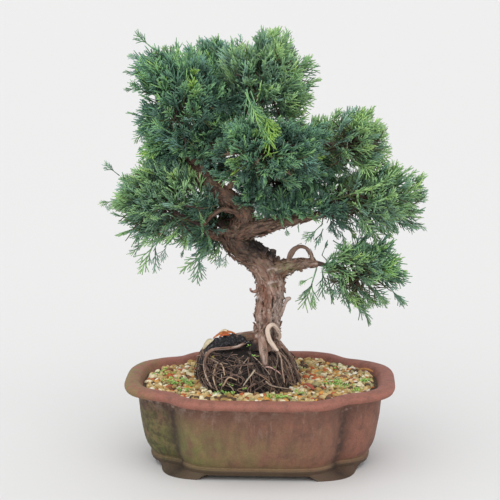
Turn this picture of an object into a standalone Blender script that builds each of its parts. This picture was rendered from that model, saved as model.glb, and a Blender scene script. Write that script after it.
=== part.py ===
# Chinese juniper bonsai, 35 cm high, in a four-lobed clay tray
#
# The tray is filled with grit, and a ball of bare roots stands on the grit and carries the tree.
# The trunk rises from that ball, leans to the left and forks at an elbow. Its leader doubles back
# through the crown, boughs leave the trunk, the leader and each other, and each bough ends where it
# meets the stem of one mass of foliage. A mass is a core with twigs and toothed sprays standing out
# of it, and keeps to its own share of the crown.
#
# The script works in metres, +Z up, with the middle of the tray at x = y = 0 and its feet at z = 0.
# Points of limbs and masses are written in millimetres. The last step moves the whole plant so that
# the middle of its footprint is the origin.

import math

import bmesh
import bpy
import numpy as np
from mathutils import Vector

MM = 0.001
CLEARANCE = 0.3 * MM  # between solids that touch
LIMB_CLEARANCE = 0.48 * MM  # added to a limb's radius to cut others clear of its flats

# Tray: half sizes of its rim outline, which is a long lobe crossed by two end lobes
TRAY_HALF_LENGTH = 0.1092
TRAY_HALF_WIDTH = 0.0846
LONG_LOBE_HALF_LENGTH = 0.0720
LONG_LOBE_TAPER = 0.42  # how much of an inset its length takes, so that the creases stay upright
END_LOBE_HALF_WIDTH = 0.0660
LONG_LOBE_SQUARENESS = 4.6
END_LOBE_SQUARENESS = 3.5
LOBE_BLEND = 26.0  # higher is a sharper notch between two lobes
TRAY_SECTORS = 60

# Tray section from the inner floor, over the rim, to the underside: (inset from the rim outline, height)
RIM_TOP = 0.0690
TRAY_FLOOR = 0.0130
TRAY_INSIDE = [(0.0340, TRAY_FLOOR), (0.0300, 0.0180), (0.0200, 0.0420), (0.0160, 0.0580)]
TRAY_RIM = [(0.0130, 0.0655), (0.0105, 0.0684), (0.0055, RIM_TOP), (0.0012, 0.0676), (0.0000, 0.0650)]
TRAY_OUTSIDE = [(0.0010, 0.0626), (0.0090, 0.0612), (0.0108, 0.0560), (0.0125, 0.0400), (0.0158, 0.0220),
                (0.0190, 0.0145)]
TRAY_BASE_BAND = [(0.0222, 0.0100), (0.0204, 0.0086), (0.0214, 0.0050)]

# Feet, at the corners of a rounded rectangle under the notches
FOOT_HEIGHT = 0.0050
FOOT_HALF_LENGTH = 0.0785
FOOT_HALF_WIDTH = 0.0642
FOOT_SQUARENESS = 4.5
FOOT_THICKNESS = 0.0130
FOOT_ANGLE = math.radians(37.0)  # where each foot is, from the tray's long axis
FOOT_HALF_ANGLE = math.radians(15.5)
FOOT_END_ANGLE = math.radians(4.5)  # over which a foot's end slopes up

# Grit and the ball of roots that stands on it
SOIL_TOP = 0.0630
BALL_CENTRE = (-0.0088, -0.0040)
BALL_LEAN = -0.0035  # that its top is shifted along X
BALL_HALF_LENGTH = 0.0435
BALL_HALF_WIDTH = 0.0390
BALL_HEIGHT = 0.0300
BALL_SECTORS = 28
BALL_PROFILE = [(1.00, 0.00), (0.965, 0.30), (0.91, 0.58), (0.82, 0.81), (0.70, 0.95), (0.58, 1.00)]

# Limbs: the limb that each grows from, its points in millimetres, their radii, and the number of sides.
# The trunk's first point is its flat cut, and every other limb starts inside its parent and is cut clear.
TRUNK_FOOT = SOIL_TOP / MM + BALL_HEIGHT / MM + 0.6
LIMBS = {
    "trunk": (None, [(4.5, -6, TRUNK_FOOT), (4.8, -5, 99), (5.4, -3.5, 109), (6.4, -1, 122), (7.8, 1, 140),
                     (6, 2, 154), (-3, 3, 165.5), (-14.5, 4, 172.5), (-23, 5, 181), (-26, 5, 189)],
              [14, 11.4, 10.1, 10.6, 11.4, 12, 10.9, 10.4, 9.4, 7.5], 12),
    "leader": ("trunk", [(-21, 4, 181), (-16, 3, 192), (-12.5, 1, 202), (-19, -2, 210), (-28, -4, 217),
                         (-38, -5, 225), (-47, -3, 234), (-51, 1, 243), (-48, 5, 252), (-38, 7, 259),
                         (-27, 6, 266), (-18, 4, 274)],
               [8.5, 8.2, 7.4, 6.8, 6.6, 6.2, 5.8, 5.2, 4.8, 4.2, 3.6, 3.0], 8),
    "bough_right": ("trunk", [(-22, 3, 184), (-8, 0, 189), (3, -2, 192.5), (16, -3, 196), (31, -4, 198.5),
                              (43, -4, 202), (54, -4, 203)], [8, 7.4, 6.6, 5.0, 3.5, 3.0, 2.7], 8),
    "bough_low_right": ("trunk", [(4, 1, 154), (17, -1, 157.5), (26, -3, 161.5), (36, -4, 163),
                                  (46, -5, 162.5)], [8.5, 7.0, 5.2, 3.8, 3.4], 8),
    "loop_twig": ("bough_low_right", [(22, -4, 161), (25, -5, 172), (32, -6, 177), (39, -6, 173.5),
                                      (43, -5.5, 163)], [2.8, 2.3, 1.7, 1.5, 1.4], 6),
    "bough_low_left": ("trunk", [(-20, 4, 181), (-33, 4, 182), (-40, 3, 185), (-46, 1, 190)],
                       [4.6, 3.6, 3.0, 2.5], 7),
    "bough_low_left_back": ("trunk", [(-22, 6, 180), (-27, 12, 184), (-31, 18, 188)],
                            [4.2, 3.4, 2.6], 6),
    "arched_twig": ("leader", [(-16, -3, 200), (-22, -10, 206), (-31, -12, 207), (-39, -11, 201),
                               (-46, -8, 193)], [2.4, 2.0, 1.8, 1.6, 1.3], 6),
    "bough_crown_left": ("leader", [(-50, 1, 241), (-56, -2, 248), (-59, -4, 254)], [4.2, 3.4, 2.8], 7),
    "bough_inner_left": ("leader", [(-49, 1, 239), (-52, 7, 241), (-55, 13, 242)], [3.6, 3.0, 2.4], 6),
    "bough_crown_back": ("leader", [(-46, 5, 253), (-41, 16, 261), (-34, 25, 268)], [3.8, 3.0, 2.4], 6),
    "bough_centre": ("leader", [(-13, 2, 203), (-8, 5, 214), (-8.5, 7, 226), (-8, 9, 238), (3, 10, 247),
                                (18, 8, 253), (30, 4, 256), (40, 2, 258)],
                     [4.6, 3.6, 3.0, 2.8, 2.7, 2.5, 2.3, 2.1], 7),
    "bough_centre_front": ("bough_centre", [(-8, 8, 232), (-3, -4, 236), (3, -14, 240)],
                           [3.0, 2.6, 2.2], 6),
    "bough_centre_back": ("bough_centre", [(-8.5, 6, 220), (-7, 12, 221), (-6, 17, 222)],
                          [3.0, 2.6, 2.2], 6),
    "bough_shoulder_back": ("bough_centre", [(5, 10, 248), (13, 17, 251), (20, 23, 252)],
                            [3.0, 2.6, 2.2], 6),
    "bough_right_back": ("bough_right", [(26, -3, 201), (38, 8, 207), (48, 20, 210)],
                         [3.8, 3.0, 2.4], 6),
    "root_left": ("trunk", [(3, -3.6, 102.4), (-8, -4, 101.6), (-18, -5, 99.5), (-28, -6, 97.5), (-37, -7, 93),
                            (-43.5, -8, 85), (-47, -9, 75), (-49, -10, 65.5)],
                  [5.5, 3.8, 4.8, 5.0, 4.2, 3.2, 2.4, 1.8], 7),
    "root_front": ("trunk", [(3, -8, 105), (2.2, -17, 103), (3, -25, 97.5), (4.4, -31.5, 91.5),
                             (5, -35.5, 86)], [3.8, 3.6, 3.5, 3.2, 2.4], 6),
    "root_pale": ("trunk", [(13, -5, 98), (16, -9.5, 104), (14, -14.5, 111), (10.2, -17.5, 115.3),
                            (6.6, -19, 112), (7.6, -20.5, 105), (10.5, -21.5, 100), (15, -23.5, 95)],
                  [1.8, 1.6, 1.7, 2.0, 2.2, 2.1, 2.0, 1.7], 6),
    "root_right": ("trunk", [(11, -5, 101), (18, -5.5, 94.5), (24, -7, 86.5), (28.5, -9, 76), (33, -12, 65.5)],
                   [3.2, 2.3, 1.9, 1.6, 1.3], 6),
    "root_back": ("trunk", [(4, 0, 105), (4, 12, 101.5), (5, 22, 96), (6, 30, 88), (7, 36, 76), (8, 38, 65.5)],
                  [5.5, 4.2, 3.6, 2.8, 2.2, 1.8], 6),
    "root_back_left": ("trunk", [(0, 0, 102), (-11, 8, 99.5), (-21, 15, 96.5), (-29, 21, 91), (-35, 27, 80),
                                 (-38, 30, 65.5)], [5.0, 4.0, 3.6, 3.0, 2.4, 1.8], 6),
    "root_slender": ("root_left", [(-12, -8.5, 98), (-17.5, -15, 96.4), (-27.5, -19.5, 96), (-38, -22.5, 95.2),
                                   (-42.6, -25, 89.5), (-42.8, -27.5, 81), (-39.5, -31, 72.5),
                                   (-36, -34.5, 65.5)],
                     [1.7, 1.5, 1.4, 1.4, 1.4, 1.3, 1.2, 1.0], 6),
}
CURVE_STEPS = 2  # rings for each stretch between two points of a limb, and one for a root's
TRUNK_FLUTES = 5
FLUTE_DEPTH = 0.10  # of the radius, at the foot

# Masses of foliage: the limb that feeds each, its centre and its half sizes in millimetres
MASSES = {
    "foliage_apex": ("leader", (3, -4, 306), (46, 46, 46)),
    "foliage_crown_left": ("bough_crown_left", (-62, -10, 293), (45, 46, 50)),
    "foliage_crown_back": ("bough_crown_back", (-31, 45, 295), (49, 38, 48)),
    "foliage_inner_left": ("bough_inner_left", (-56, 40, 240), (46, 36, 35)),
    "foliage_shoulder_right": ("bough_centre", (73, -2, 258), (36, 40, 33)),
    "foliage_shoulder_back": ("bough_shoulder_back", (40, 47, 242), (44, 37, 34)),
    "foliage_wide_right": ("bough_right", (92, -4, 213), (48, 43, 37)),
    "foliage_wide_right_back": ("bough_right_back", (66, 46, 205), (44, 36, 30)),
    "foliage_low_right": ("bough_low_right", (78, -8, 154), (40, 36, 31)),
    "foliage_low_left": ("bough_low_left", (-78, -8, 210), (49, 43, 40)),
    "foliage_low_left_back": ("bough_low_left_back", (-38, 42, 187), (43, 36, 35)),
    "foliage_centre_front": ("bough_centre_front", (8, -36, 257), (52, 31, 34)),
    "foliage_centre_back": ("bough_centre_back", (8, 45, 223), (57, 36, 38)),
}
MASS_SQUARENESS = 2.4  # 2 makes an ellipsoid, and more makes it boxier
MASS_REACH = 1.10  # how far out its sprays may go, where 1 is the half sizes
MASS_RAGGED = 0.14  # how deep the outline of a mass is bitten
FOLIAGE_SEED = 35
TWIGS = 13  # that leave the core of each mass
TWIG_LIFT = 0.10  # of a twig's length, that its middle rises
TWIG_RADIUS = 1.25 * MM
SPRAY_LENGTH = 26.0 * MM
SPRAY_THICKNESS = 2.6 * MM
SPRAY_TEETH = [(0.00, 0.00), (0.66, 0.40), (0.60, 0.17), (1.00, 0.00), (0.60, -0.17), (0.66, -0.40)]
SPRAYS_AT_TIP = 1  # beside the one that carries on from the twig
SPRAY_LEAN = math.radians(44.0)
CORE_POINTS = 64
CORE_SHARE = 0.77  # of the mass's half sizes
CORE_LUMPS = 0.13  # that the core's surface swells and sinks by, as a share
SPACE_MARGIN = 0.8 * MM  # kept by twigs and sprays from the next mass
CORE_MARGIN = 2.0 * MM
LIMB_MARGIN = 1.0 * MM  # kept by twigs and sprays from every limb

# Colours as linear red, green and blue, with roughness
MATERIALS = {
    "clay": ((0.205, 0.098, 0.066), 0.78),
    "grit": ((0.300, 0.195, 0.095), 0.90),
    "humus": ((0.022, 0.016, 0.013), 0.95),
    "bark": ((0.150, 0.082, 0.055), 0.88),
    "root_wood": ((0.330, 0.215, 0.150), 0.80),
    "juniper_green": ((0.040, 0.130, 0.045), 0.62),
}


def clear_scene():
    for obj in list(bpy.data.objects):
        bpy.data.objects.remove(obj, do_unlink=True)


def make_materials():
    made = {}
    for name, (colour, roughness) in MATERIALS.items():
        material = bpy.data.materials.new(name)
        material.use_nodes = True
        shader = material.node_tree.nodes["Principled BSDF"]
        shader.inputs["Base Color"].default_value = (*colour, 1.0)
        shader.inputs["Roughness"].default_value = roughness
        shader.inputs["Metallic"].default_value = 0.0
        made[name] = material
    return made


def add_object(name, mesh, material=None):
    obj = bpy.data.objects.new(name, mesh)
    bpy.context.scene.collection.objects.link(obj)
    if material is not None:
        mesh.materials.clear()
        mesh.materials.append(material)
    return obj


def skin(name, rings, start=None, end=None):
    """A closed mesh over rings of equally many points. Each end is drawn to a point, or is flat."""
    bm = bmesh.new()
    loops = [[bm.verts.new(point) for point in ring] for ring in rings]
    sides = len(loops[0])
    for near, far in zip(loops, loops[1:]):
        for i in range(sides):
            j = (i + 1) % sides
            bm.faces.new((near[i], near[j], far[j], far[i]))
    for loop, pole in ((loops[0], start), (loops[-1], end)):
        if pole is None:
            bm.faces.new(loop)
            continue
        tip = bm.verts.new(pole)
        for i in range(sides):
            bm.faces.new((loop[i], loop[(i + 1) % sides], tip))
    bmesh.ops.recalc_face_normals(bm, faces=bm.faces)
    mesh = bpy.data.meshes.new(name)
    bm.to_mesh(mesh)
    bm.free()
    return mesh


def shade(obj, angle=math.radians(40.0)):
    obj.data.shade_smooth()
    obj.data.set_sharp_from_angle(angle=angle)


# Tray and soil


def lobe_radius(angle, half_x, half_y, squareness):
    across = abs(math.cos(angle) / half_x) ** squareness
    along = abs(math.sin(angle) / half_y) ** squareness
    return (across + along) ** (-1.0 / squareness)


def outline_radius(angle, inset):
    """Distance from the tray's middle to its four-lobed outline, drawn in by the inset."""
    long_lobe = lobe_radius(
        angle,
        LONG_LOBE_HALF_LENGTH - LONG_LOBE_TAPER * inset,
        TRAY_HALF_WIDTH - inset,
        LONG_LOBE_SQUARENESS,
    )
    end_lobe = lobe_radius(
        angle, TRAY_HALF_LENGTH - inset, END_LOBE_HALF_WIDTH - inset, END_LOBE_SQUARENESS
    )
    return (long_lobe**LOBE_BLEND + end_lobe**LOBE_BLEND) ** (1.0 / LOBE_BLEND)


def outline_ring(inset, height):
    """One level of the tray."""
    ring = []
    for i in range(TRAY_SECTORS):
        angle = 2.0 * math.pi * i / TRAY_SECTORS
        radius = outline_radius(angle, inset)
        ring.append((radius * math.cos(angle), radius * math.sin(angle), height))
    return ring


def foot_level(angle):
    """Height of the underside between and at the four feet, which slope up at their ends."""
    folded = abs(math.atan2(math.sin(angle), math.cos(angle)))
    folded = min(folded, math.pi - folded)
    beyond = (abs(folded - FOOT_ANGLE) - FOOT_HALF_ANGLE) / FOOT_END_ANGLE
    return FOOT_HEIGHT * 0.9 * min(max(beyond, 0.0), 1.0)


def foot_ring(inset, lowered=True):
    """The underside of the feet, and the recess between them, on a rounded rectangle."""
    ring = []
    for i in range(TRAY_SECTORS):
        angle = 2.0 * math.pi * i / TRAY_SECTORS
        half_x, half_y = FOOT_HALF_LENGTH - inset, FOOT_HALF_WIDTH - inset
        radius = lobe_radius(angle, half_x, half_y, FOOT_SQUARENESS)
        level = foot_level(angle) if lowered else FOOT_HEIGHT
        ring.append((radius * math.cos(angle), radius * math.sin(angle), level))
    return ring


def build_tray(material):
    section = TRAY_INSIDE + TRAY_RIM + TRAY_OUTSIDE + TRAY_BASE_BAND
    rings = [outline_ring(inset, height) for inset, height in section]
    rings.append(foot_ring(0.0))
    rings.append(foot_ring(FOOT_THICKNESS))
    rings.append(foot_ring(FOOT_THICKNESS + 0.0030, lowered=False))
    mesh = skin("tray", rings, start=(0, 0, TRAY_FLOOR), end=(0, 0, FOOT_HEIGHT))
    shade(add_object("tray", mesh, material))


def build_soil(material):
    """The fill, which follows the inside of the tray one clearance away."""
    section = [(inset + 1.5 * CLEARANCE, height + CLEARANCE) for inset, height in TRAY_INSIDE]
    insets, heights = zip(TRAY_INSIDE[-1], TRAY_RIM[0])
    section.append((np.interp(SOIL_TOP, heights, insets) + 1.5 * CLEARANCE, SOIL_TOP))
    rings = [outline_ring(inset, height) for inset, height in section]
    bottom, top = (0, 0, TRAY_FLOOR + CLEARANCE), (0, 0, SOIL_TOP)
    shade(add_object("soil", skin("soil", rings, start=bottom, end=top), material))


def ball_mesh(grow=0.0):
    """The root ball, or with grow the same shape that much larger all round."""
    x, y = BALL_CENTRE
    base = SOIL_TOP + CLEARANCE
    top = (x + BALL_LEAN, y, base + BALL_HEIGHT + grow)
    rings = []
    for share, rise in BALL_PROFILE:
        ring = []
        for i in range(BALL_SECTORS):
            angle = 2.0 * math.pi * i / BALL_SECTORS
            lump = 1.0 + 0.035 * math.sin(3 * angle + 1.0) + 0.03 * math.sin(5 * angle)
            across = (BALL_HALF_LENGTH * share * lump + grow) * math.cos(angle)
            along = (BALL_HALF_WIDTH * share * lump + grow) * math.sin(angle)
            level = base + BALL_HEIGHT * rise + (grow if rise > 0 else -grow)
            ring.append((x + BALL_LEAN * rise + across, y + along, level))
        rings.append(ring)
    return skin("root_ball", rings, end=top)


# Limbs


def smooth_run(values, steps):
    """Values on a Catmull-Rom curve through the given ones, with so many steps for each stretch."""
    values = np.array(values, float)
    padded = np.vstack([2 * values[0] - values[1], values, 2 * values[-1] - values[-2]])
    run = []
    for k in range(len(values) - 1):
        a, b, c, d = padded[k : k + 4]
        for step in range(steps):
            t = step / steps
            run.append(
                0.5 * (2 * b + (c - a) * t + (2 * a - 5 * b + 4 * c - d) * t**2
                       + (3 * b - a - 3 * c + d) * t**3)
            )
    run.append(values[-1])
    return np.array(run)


def limb_line(name, steps=0):
    """(centre points, radii) of a limb in metres."""
    _, points, radii, _ = LIMBS[name]
    steps = steps or (1 if name.startswith("root") else CURVE_STEPS)
    run = smooth_run([(*point, radius) for point, radius in zip(points, radii)], steps)
    return run[:, :3] * MM, run[:, 3] * MM


def tube_rings(points, radii, sides, flutes=0):
    """Rings round a line, each square to it and turned no further than the line turns."""
    tangents = np.gradient(points, axis=0)
    across = Vector((1.0, 0.0, 0.0))
    rings = []
    for k, (point, radius) in enumerate(zip(points, radii)):
        ahead = Vector(tangents[k]).normalized()
        if k == 0 and flutes:
            ahead = Vector((0.0, 0.0, 1.0))  # the flat cut under the trunk is level
        across = (across - ahead * across.dot(ahead)).normalized()
        beside = ahead.cross(across)
        fade = FLUTE_DEPTH * max(0.0, 1.0 - k / len(points) * 1.6)
        ring = []
        for i in range(sides):
            angle = 2.0 * math.pi * i / sides
            swell = radius * (1.0 + (fade * math.cos(flutes * angle) if flutes else 0.0))
            offset = (across * math.cos(angle) + beside * math.sin(angle)) * swell
            ring.append(Vector(point) + offset)
        rings.append(ring)
    return rings


def limb_mesh(name, grow=0.0):
    """A limb as one closed tube, or with grow the same tube that much thicker."""
    points, radii = limb_line(name)
    sides = LIMBS[name][3]
    rings = tube_rings(points, radii + grow, sides, TRUNK_FLUTES if name == "trunk" else 0)
    if name == "trunk" and grow:
        rings.insert(0, [point - Vector((0, 0, 4 * grow)) for point in rings[0]])
    ahead = Vector(points[-1] - points[-2]).normalized()
    domed = name in ("trunk", "loop_twig", "arched_twig") or name.startswith("root")
    end = Vector(points[-1]) + ahead * (radii[-1] * 0.6 + 2 * grow) if domed else None
    return skin(name, rings, end=end)


def shells_of(bm):
    """The separate shells of a mesh, each a list of faces."""
    waiting = set(bm.faces)
    shells = []
    while waiting:
        shell = [waiting.pop()]
        for face in shell:
            for edge in face.edges:
                for other in edge.link_faces:
                    if other in waiting:
                        waiting.remove(other)
                        shell.append(other)
        shells.append(shell)
    return shells


def shell_volume(shell):
    return sum(
        loop.vert.co.dot(loop.link_loop_next.vert.co.cross(face.loops[0].vert.co)) / 6.0
        for face in shell
        for loop in face.loops
    )


def keep_largest_shell(mesh):
    """Drops loose scraps, and fills sealed hollows by dropping their inner shells."""
    bm = bmesh.new()
    bm.from_mesh(mesh)
    shells = sorted(shells_of(bm), key=shell_volume)
    spare = [face for shell in shells[:-1] for face in shell]
    bmesh.ops.delete(bm, geom=spare, context="FACES")
    bmesh.ops.triangulate(bm, faces=bm.faces)
    closed = all(edge.is_manifold for edge in bm.edges)
    bm.to_mesh(mesh)
    bm.free()
    return closed


def take_evaluated_mesh(obj):
    """Applies an object's modifiers."""
    graph = bpy.context.evaluated_depsgraph_get()
    mesh = bpy.data.meshes.new_from_object(obj.evaluated_get(graph))
    obj.modifiers.clear()
    obj.data = mesh


def cut_clear(obj, cutter_meshes):
    """Takes each cutter away from the object, so that it stands clear of what it grows from."""
    for mesh in cutter_meshes:
        cutter = add_object("cutter", mesh)
        cutter.hide_render = True
        cutter.display_type = "WIRE"
        whole = obj.data
        for solver in ("MANIFOLD", "EXACT"):
            obj.data = whole.copy()
            modifier = obj.modifiers.new("clear", "BOOLEAN")
            modifier.operation = "DIFFERENCE"
            modifier.solver = solver
            modifier.object = cutter
            take_evaluated_mesh(obj)
            if obj.data.polygons and keep_largest_shell(obj.data):
                break
        bpy.data.objects.remove(cutter)


def limbs_near(name):
    """The limbs built before this one that come close enough to touch it."""
    points, radii = limb_line(name)
    near = []
    for other in list(LIMBS)[: list(LIMBS).index(name)]:
        other_points, other_radii = limb_line(other, 6)
        gaps = np.linalg.norm(points[:, None] - other_points[None], axis=-1)
        if (gaps - radii[:, None] - other_radii[None] < 3.0 * MM).any():
            near.append(other)
    return near


def build_limb(name, material):
    obj = add_object(name, limb_mesh(name), material)
    cutters = [limb_mesh(other, LIMB_CLEARANCE) for other in limbs_near(name)]
    if name.startswith("root"):
        cutters.append(ball_mesh(LIMB_CLEARANCE))
    if cutters:
        cut_clear(obj, cutters)
    shade(obj)


# Foliage


def share_out(points, centre, half_sizes):
    """How far out each point is in a mass, where 1 is the outside."""
    return np.linalg.norm(np.abs((points - centre) / half_sizes), MASS_SQUARENESS, axis=-1)


class Mass:
    """One mass of foliage: a ragged ellipsoid of space, less what is nearer to another mass."""

    def __init__(self, name, limb_points, limb_radii):
        self.name = name
        self.feeder, centre, half_sizes = MASSES[name]
        self.centre = np.array(centre) * MM
        self.half_sizes = np.array(half_sizes) * MM
        self.others = [
            (np.array(c) * MM, np.array(h) * MM) for n, (_, c, h) in MASSES.items() if n != name
        ]
        self.limb_points, self.limb_radii = limb_points, limb_radii
        self.random = np.random.default_rng(FOLIAGE_SEED + list(MASSES).index(name))
        self.phase = 1.9 * list(MASSES).index(name)

    def ragged_reach(self, points):
        """How far out the mass goes in each point's direction: its outline has bays and bulges."""
        away = (points - self.centre) / self.half_sizes
        x, y, z = (away / np.linalg.norm(away, axis=-1, keepdims=True)).T
        swell = np.sin(4.2 * x + 3.1 * y + self.phase) * np.sin(5.3 * z - 2.6 * y + 1.7 * self.phase)
        return MASS_REACH - MASS_RAGGED * (0.5 + 0.5 * swell)

    def holds(self, points, margin):
        """Whether all points are inside this mass's space, a margin away from the next one's."""
        own = share_out(points, self.centre, self.half_sizes)
        if (own > self.ragged_reach(points)).any():
            return False
        own = own + margin / self.half_sizes.min()
        return all(
            (own < share_out(points, centre, half) - margin / half.min()).all()
            for centre, half in self.others
        )

    def clears_limbs(self, points, margin):
        gaps = np.linalg.norm(points[:, None, :] - self.limb_points[None], axis=-1) - self.limb_radii
        return bool((gaps > margin).all())

    def reach(self, start, direction):
        """How far the space goes from a point in a direction."""
        length = 0.0
        while self.holds((start + direction * (length + MM))[None], SPACE_MARGIN):
            length += MM
        return length


def spread_directions(count, turn):
    """Directions spaced evenly over a sphere."""
    golden = math.pi * (3.0 - math.sqrt(5.0))
    for k in range(count):
        z = 1.0 - 2.0 * (k + 0.5) / count
        flat = math.sqrt(1.0 - z * z)
        angle = golden * k + turn
        yield np.array((flat * math.cos(angle), flat * math.sin(angle), z))


def spray_mesh(root, tip, turn):
    """A spray of foliage: a flat blade with three teeth, thickest in its middle."""
    ahead = Vector(tip - root)
    across = ahead.orthogonal().normalized()
    beside = ahead.normalized().cross(across)
    wide = (across * math.cos(turn) + beside * math.sin(turn)) * ahead.length
    thick = ahead.normalized().cross(wide.normalized()) * SPRAY_THICKNESS / 2
    ring = [Vector(root) + ahead * along + wide * aside for along, aside in SPRAY_TEETH]
    middle = Vector(root) + ahead * 0.46
    return skin("spray", [ring], start=middle - thick, end=middle + thick)


def twig_mesh(points, radii):
    return skin("twig", tube_rings(points, radii, 3))


def core_mesh(mass):
    """The dense inside of a mass: a lumpy ball, drawn in wherever it would near a limb or another mass."""
    bm = bmesh.new()
    for direction in spread_directions(CORE_POINTS, mass.random.uniform(0.0, 2.0 * math.pi)):
        bm.verts.new(direction)
    bmesh.ops.convex_hull(bm, input=bm.verts)
    directions = {vert: np.array(vert.co) for vert in bm.verts}
    turn = mass.random.uniform(0.0, 2.0 * math.pi, 3)
    shares = {}
    for vert, direction in directions.items():
        lump = np.sin(5.0 * direction + turn).sum() / 3.0 + mass.random.uniform(-0.8, 0.8)
        shares[vert] = CORE_SHARE * (1.0 + CORE_LUMPS * lump) / share_out(direction, 0.0, 1.0)

    def place(vert):
        return mass.centre + directions[vert] * mass.half_sizes * shares[vert]

    for _ in range(60):
        crowded = set()
        for face in bm.faces:
            a, b, c = (place(vert) for vert in face.verts)
            samples = np.array([a, b, c, (a + b) / 2, (b + c) / 2, (c + a) / 2, (a + b + c) / 3])
            if not (mass.holds(samples, CORE_MARGIN) and mass.clears_limbs(samples, CORE_MARGIN)):
                crowded.update(face.verts)
        if not crowded:
            break
        for vert in crowded:
            shares[vert] *= 0.94
    for vert in bm.verts:
        vert.co = place(vert)
    bmesh.ops.recalc_face_normals(bm, faces=bm.faces)
    mesh = bpy.data.meshes.new("core")
    bm.to_mesh(mesh)
    bm.free()
    return mesh


def stem_mesh(mass):
    """The stem of a mass, from just off its limb's tip to the core."""
    points, radii = limb_line(mass.feeder)
    ahead = points[-1] - points[-2]
    ahead /= np.linalg.norm(ahead)
    start = points[-1] + ahead * CLEARANCE
    bend = start + ahead * 4.0 * MM
    line = np.array([start, bend, mass.centre])
    return skin("stem", tube_rings(line, np.array([1.0, 0.95, 0.4]) * radii[-1], 6))


def sprays_of(mass, tip, ahead, length):
    """The roots, tips and turns of the sprays that spread from a twig's end."""
    turn = mass.random.uniform(0.0, 2.0 * math.pi)
    across = Vector(ahead).orthogonal().normalized()
    beside = Vector(ahead).cross(across)
    yield tip - ahead * length * 0.3, tip + ahead * length * 0.8, turn
    for i in range(SPRAYS_AT_TIP):
        angle = turn + 2.0 * math.pi * i / SPRAYS_AT_TIP + mass.random.uniform(-0.4, 0.4)
        side = np.array(across * math.cos(angle) + beside * math.sin(angle))
        lean = SPRAY_LEAN * mass.random.uniform(0.8, 1.3)
        direction = ahead * math.cos(lean) + side * math.sin(lean)
        root = tip - ahead * length * mass.random.uniform(0.2, 0.5)
        reach = length * mass.random.uniform(0.8, 1.1)
        yield root, root + direction * reach, mass.random.uniform(0.0, 3.0)


def grow_twigs(mass):
    """Meshes of the twigs of one mass and of the sprays at their ends."""
    grown = []
    for direction in spread_directions(TWIGS, mass.random.uniform(0.0, 2.0 * math.pi)):
        direction = direction + mass.random.normal(0.0, 0.12, 3)
        direction = direction * mass.half_sizes
        direction /= np.linalg.norm(direction)
        reach = mass.reach(mass.centre + direction * MM, direction)
        length = min(SPRAY_LENGTH * mass.random.uniform(0.8, 1.15), reach * 0.6)
        end = mass.centre + direction * (reach - length * 0.85)
        middle = (mass.centre + end) / 2 + np.array((0.0, 0.0, 1.0)) * TWIG_LIFT * reach * 0.5
        line = smooth_run([mass.centre, middle, end], 1)
        outer = smooth_run([middle, end], 4)
        if not (mass.holds(outer, SPACE_MARGIN) and mass.clears_limbs(outer, 2 * LIMB_MARGIN)):
            continue
        grown.append(twig_mesh(line, np.array([1.3, 1.0, 0.75]) * TWIG_RADIUS))
        ahead = (end - middle) / np.linalg.norm(end - middle)
        for root, tip, turn in sprays_of(mass, end, ahead, length):
            spray = spray_mesh(root, tip, turn)
            corners = np.array([vert.co for vert in spray.vertices])
            samples = np.vstack([corners, (corners + (root + tip) / 2) / 2])
            if mass.holds(samples, SPACE_MARGIN) and mass.clears_limbs(samples, LIMB_MARGIN):
                grown.append(spray)
    return grown


def fuse(name, meshes, solver):
    """One solid made of the first mesh and all the others, by one union over a collection."""
    body = add_object(name, meshes[0].copy())
    gathered = bpy.data.collections.new("fused")
    for mesh in meshes[1:]:
        gathered.objects.link(bpy.data.objects.new("piece", mesh.copy()))
    bpy.context.scene.collection.children.link(gathered)
    modifier = body.modifiers.new("fuse", "BOOLEAN")
    modifier.operation = "UNION"
    modifier.solver = solver
    modifier.operand_type = "COLLECTION"
    modifier.collection = gathered
    take_evaluated_mesh(body)
    for obj in list(gathered.objects):
        bpy.data.objects.remove(obj)
    bpy.data.collections.remove(gathered)
    return body, keep_largest_shell(body.data)


def build_mass(name, material, limb_points, limb_radii):
    mass = Mass(name, limb_points, limb_radii)
    meshes = [core_mesh(mass), stem_mesh(mass), *grow_twigs(mass)]
    for solver in ("EXACT", "MANIFOLD", "EXACT"):
        body, closed = fuse(name, meshes, solver)
        if closed:
            break
        if solver == "MANIFOLD":
            del meshes[5::6]  # fewer pieces, where both solvers failed
        bpy.data.objects.remove(body)
    body.data.materials.clear()
    body.data.materials.append(material)
    print(name, len(meshes) - 2, "twigs and sprays", len(body.data.polygons), "faces", closed)


def stand_on_origin():
    """Puts the middle of the plant's footprint at the origin, by a parent for every object."""
    corners = np.array([vert.co for obj in bpy.data.objects for vert in obj.data.vertices])
    low, high = corners.min(axis=0), corners.max(axis=0)
    stand = bpy.data.objects.new("stand", None)
    bpy.context.scene.collection.objects.link(stand)
    for obj in bpy.data.objects:
        if obj.type == "MESH":
            obj.parent = stand
    middle = (low + high) / 2
    stand.location = (-middle[0], -middle[1], 0.0)
    print("tray's middle is at", [round(-value, 5) for value in middle[:2]])


def main():
    clear_scene()
    materials = make_materials()
    build_tray(materials["clay"])
    build_soil(materials["grit"])
    shade(add_object("root_ball", ball_mesh(), materials["humus"]))
    for name in LIMBS:
        wood = "root_wood" if name.startswith("root") else "bark"
        build_limb(name, materials[wood])
    lines = [limb_line(name, 8) for name in LIMBS if not name.startswith("root")]
    limb_points = np.vstack([points for points, _ in lines])
    limb_radii = np.concatenate([radii for _, radii in lines])
    for name in MASSES:
        build_mass(name, materials["juniper_green"], limb_points, limb_radii)
    stand_on_origin()


main()
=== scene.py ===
# Juniper bonsai with bare roots, in a four-lobed unglazed clay tray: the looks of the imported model.
import math

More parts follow.
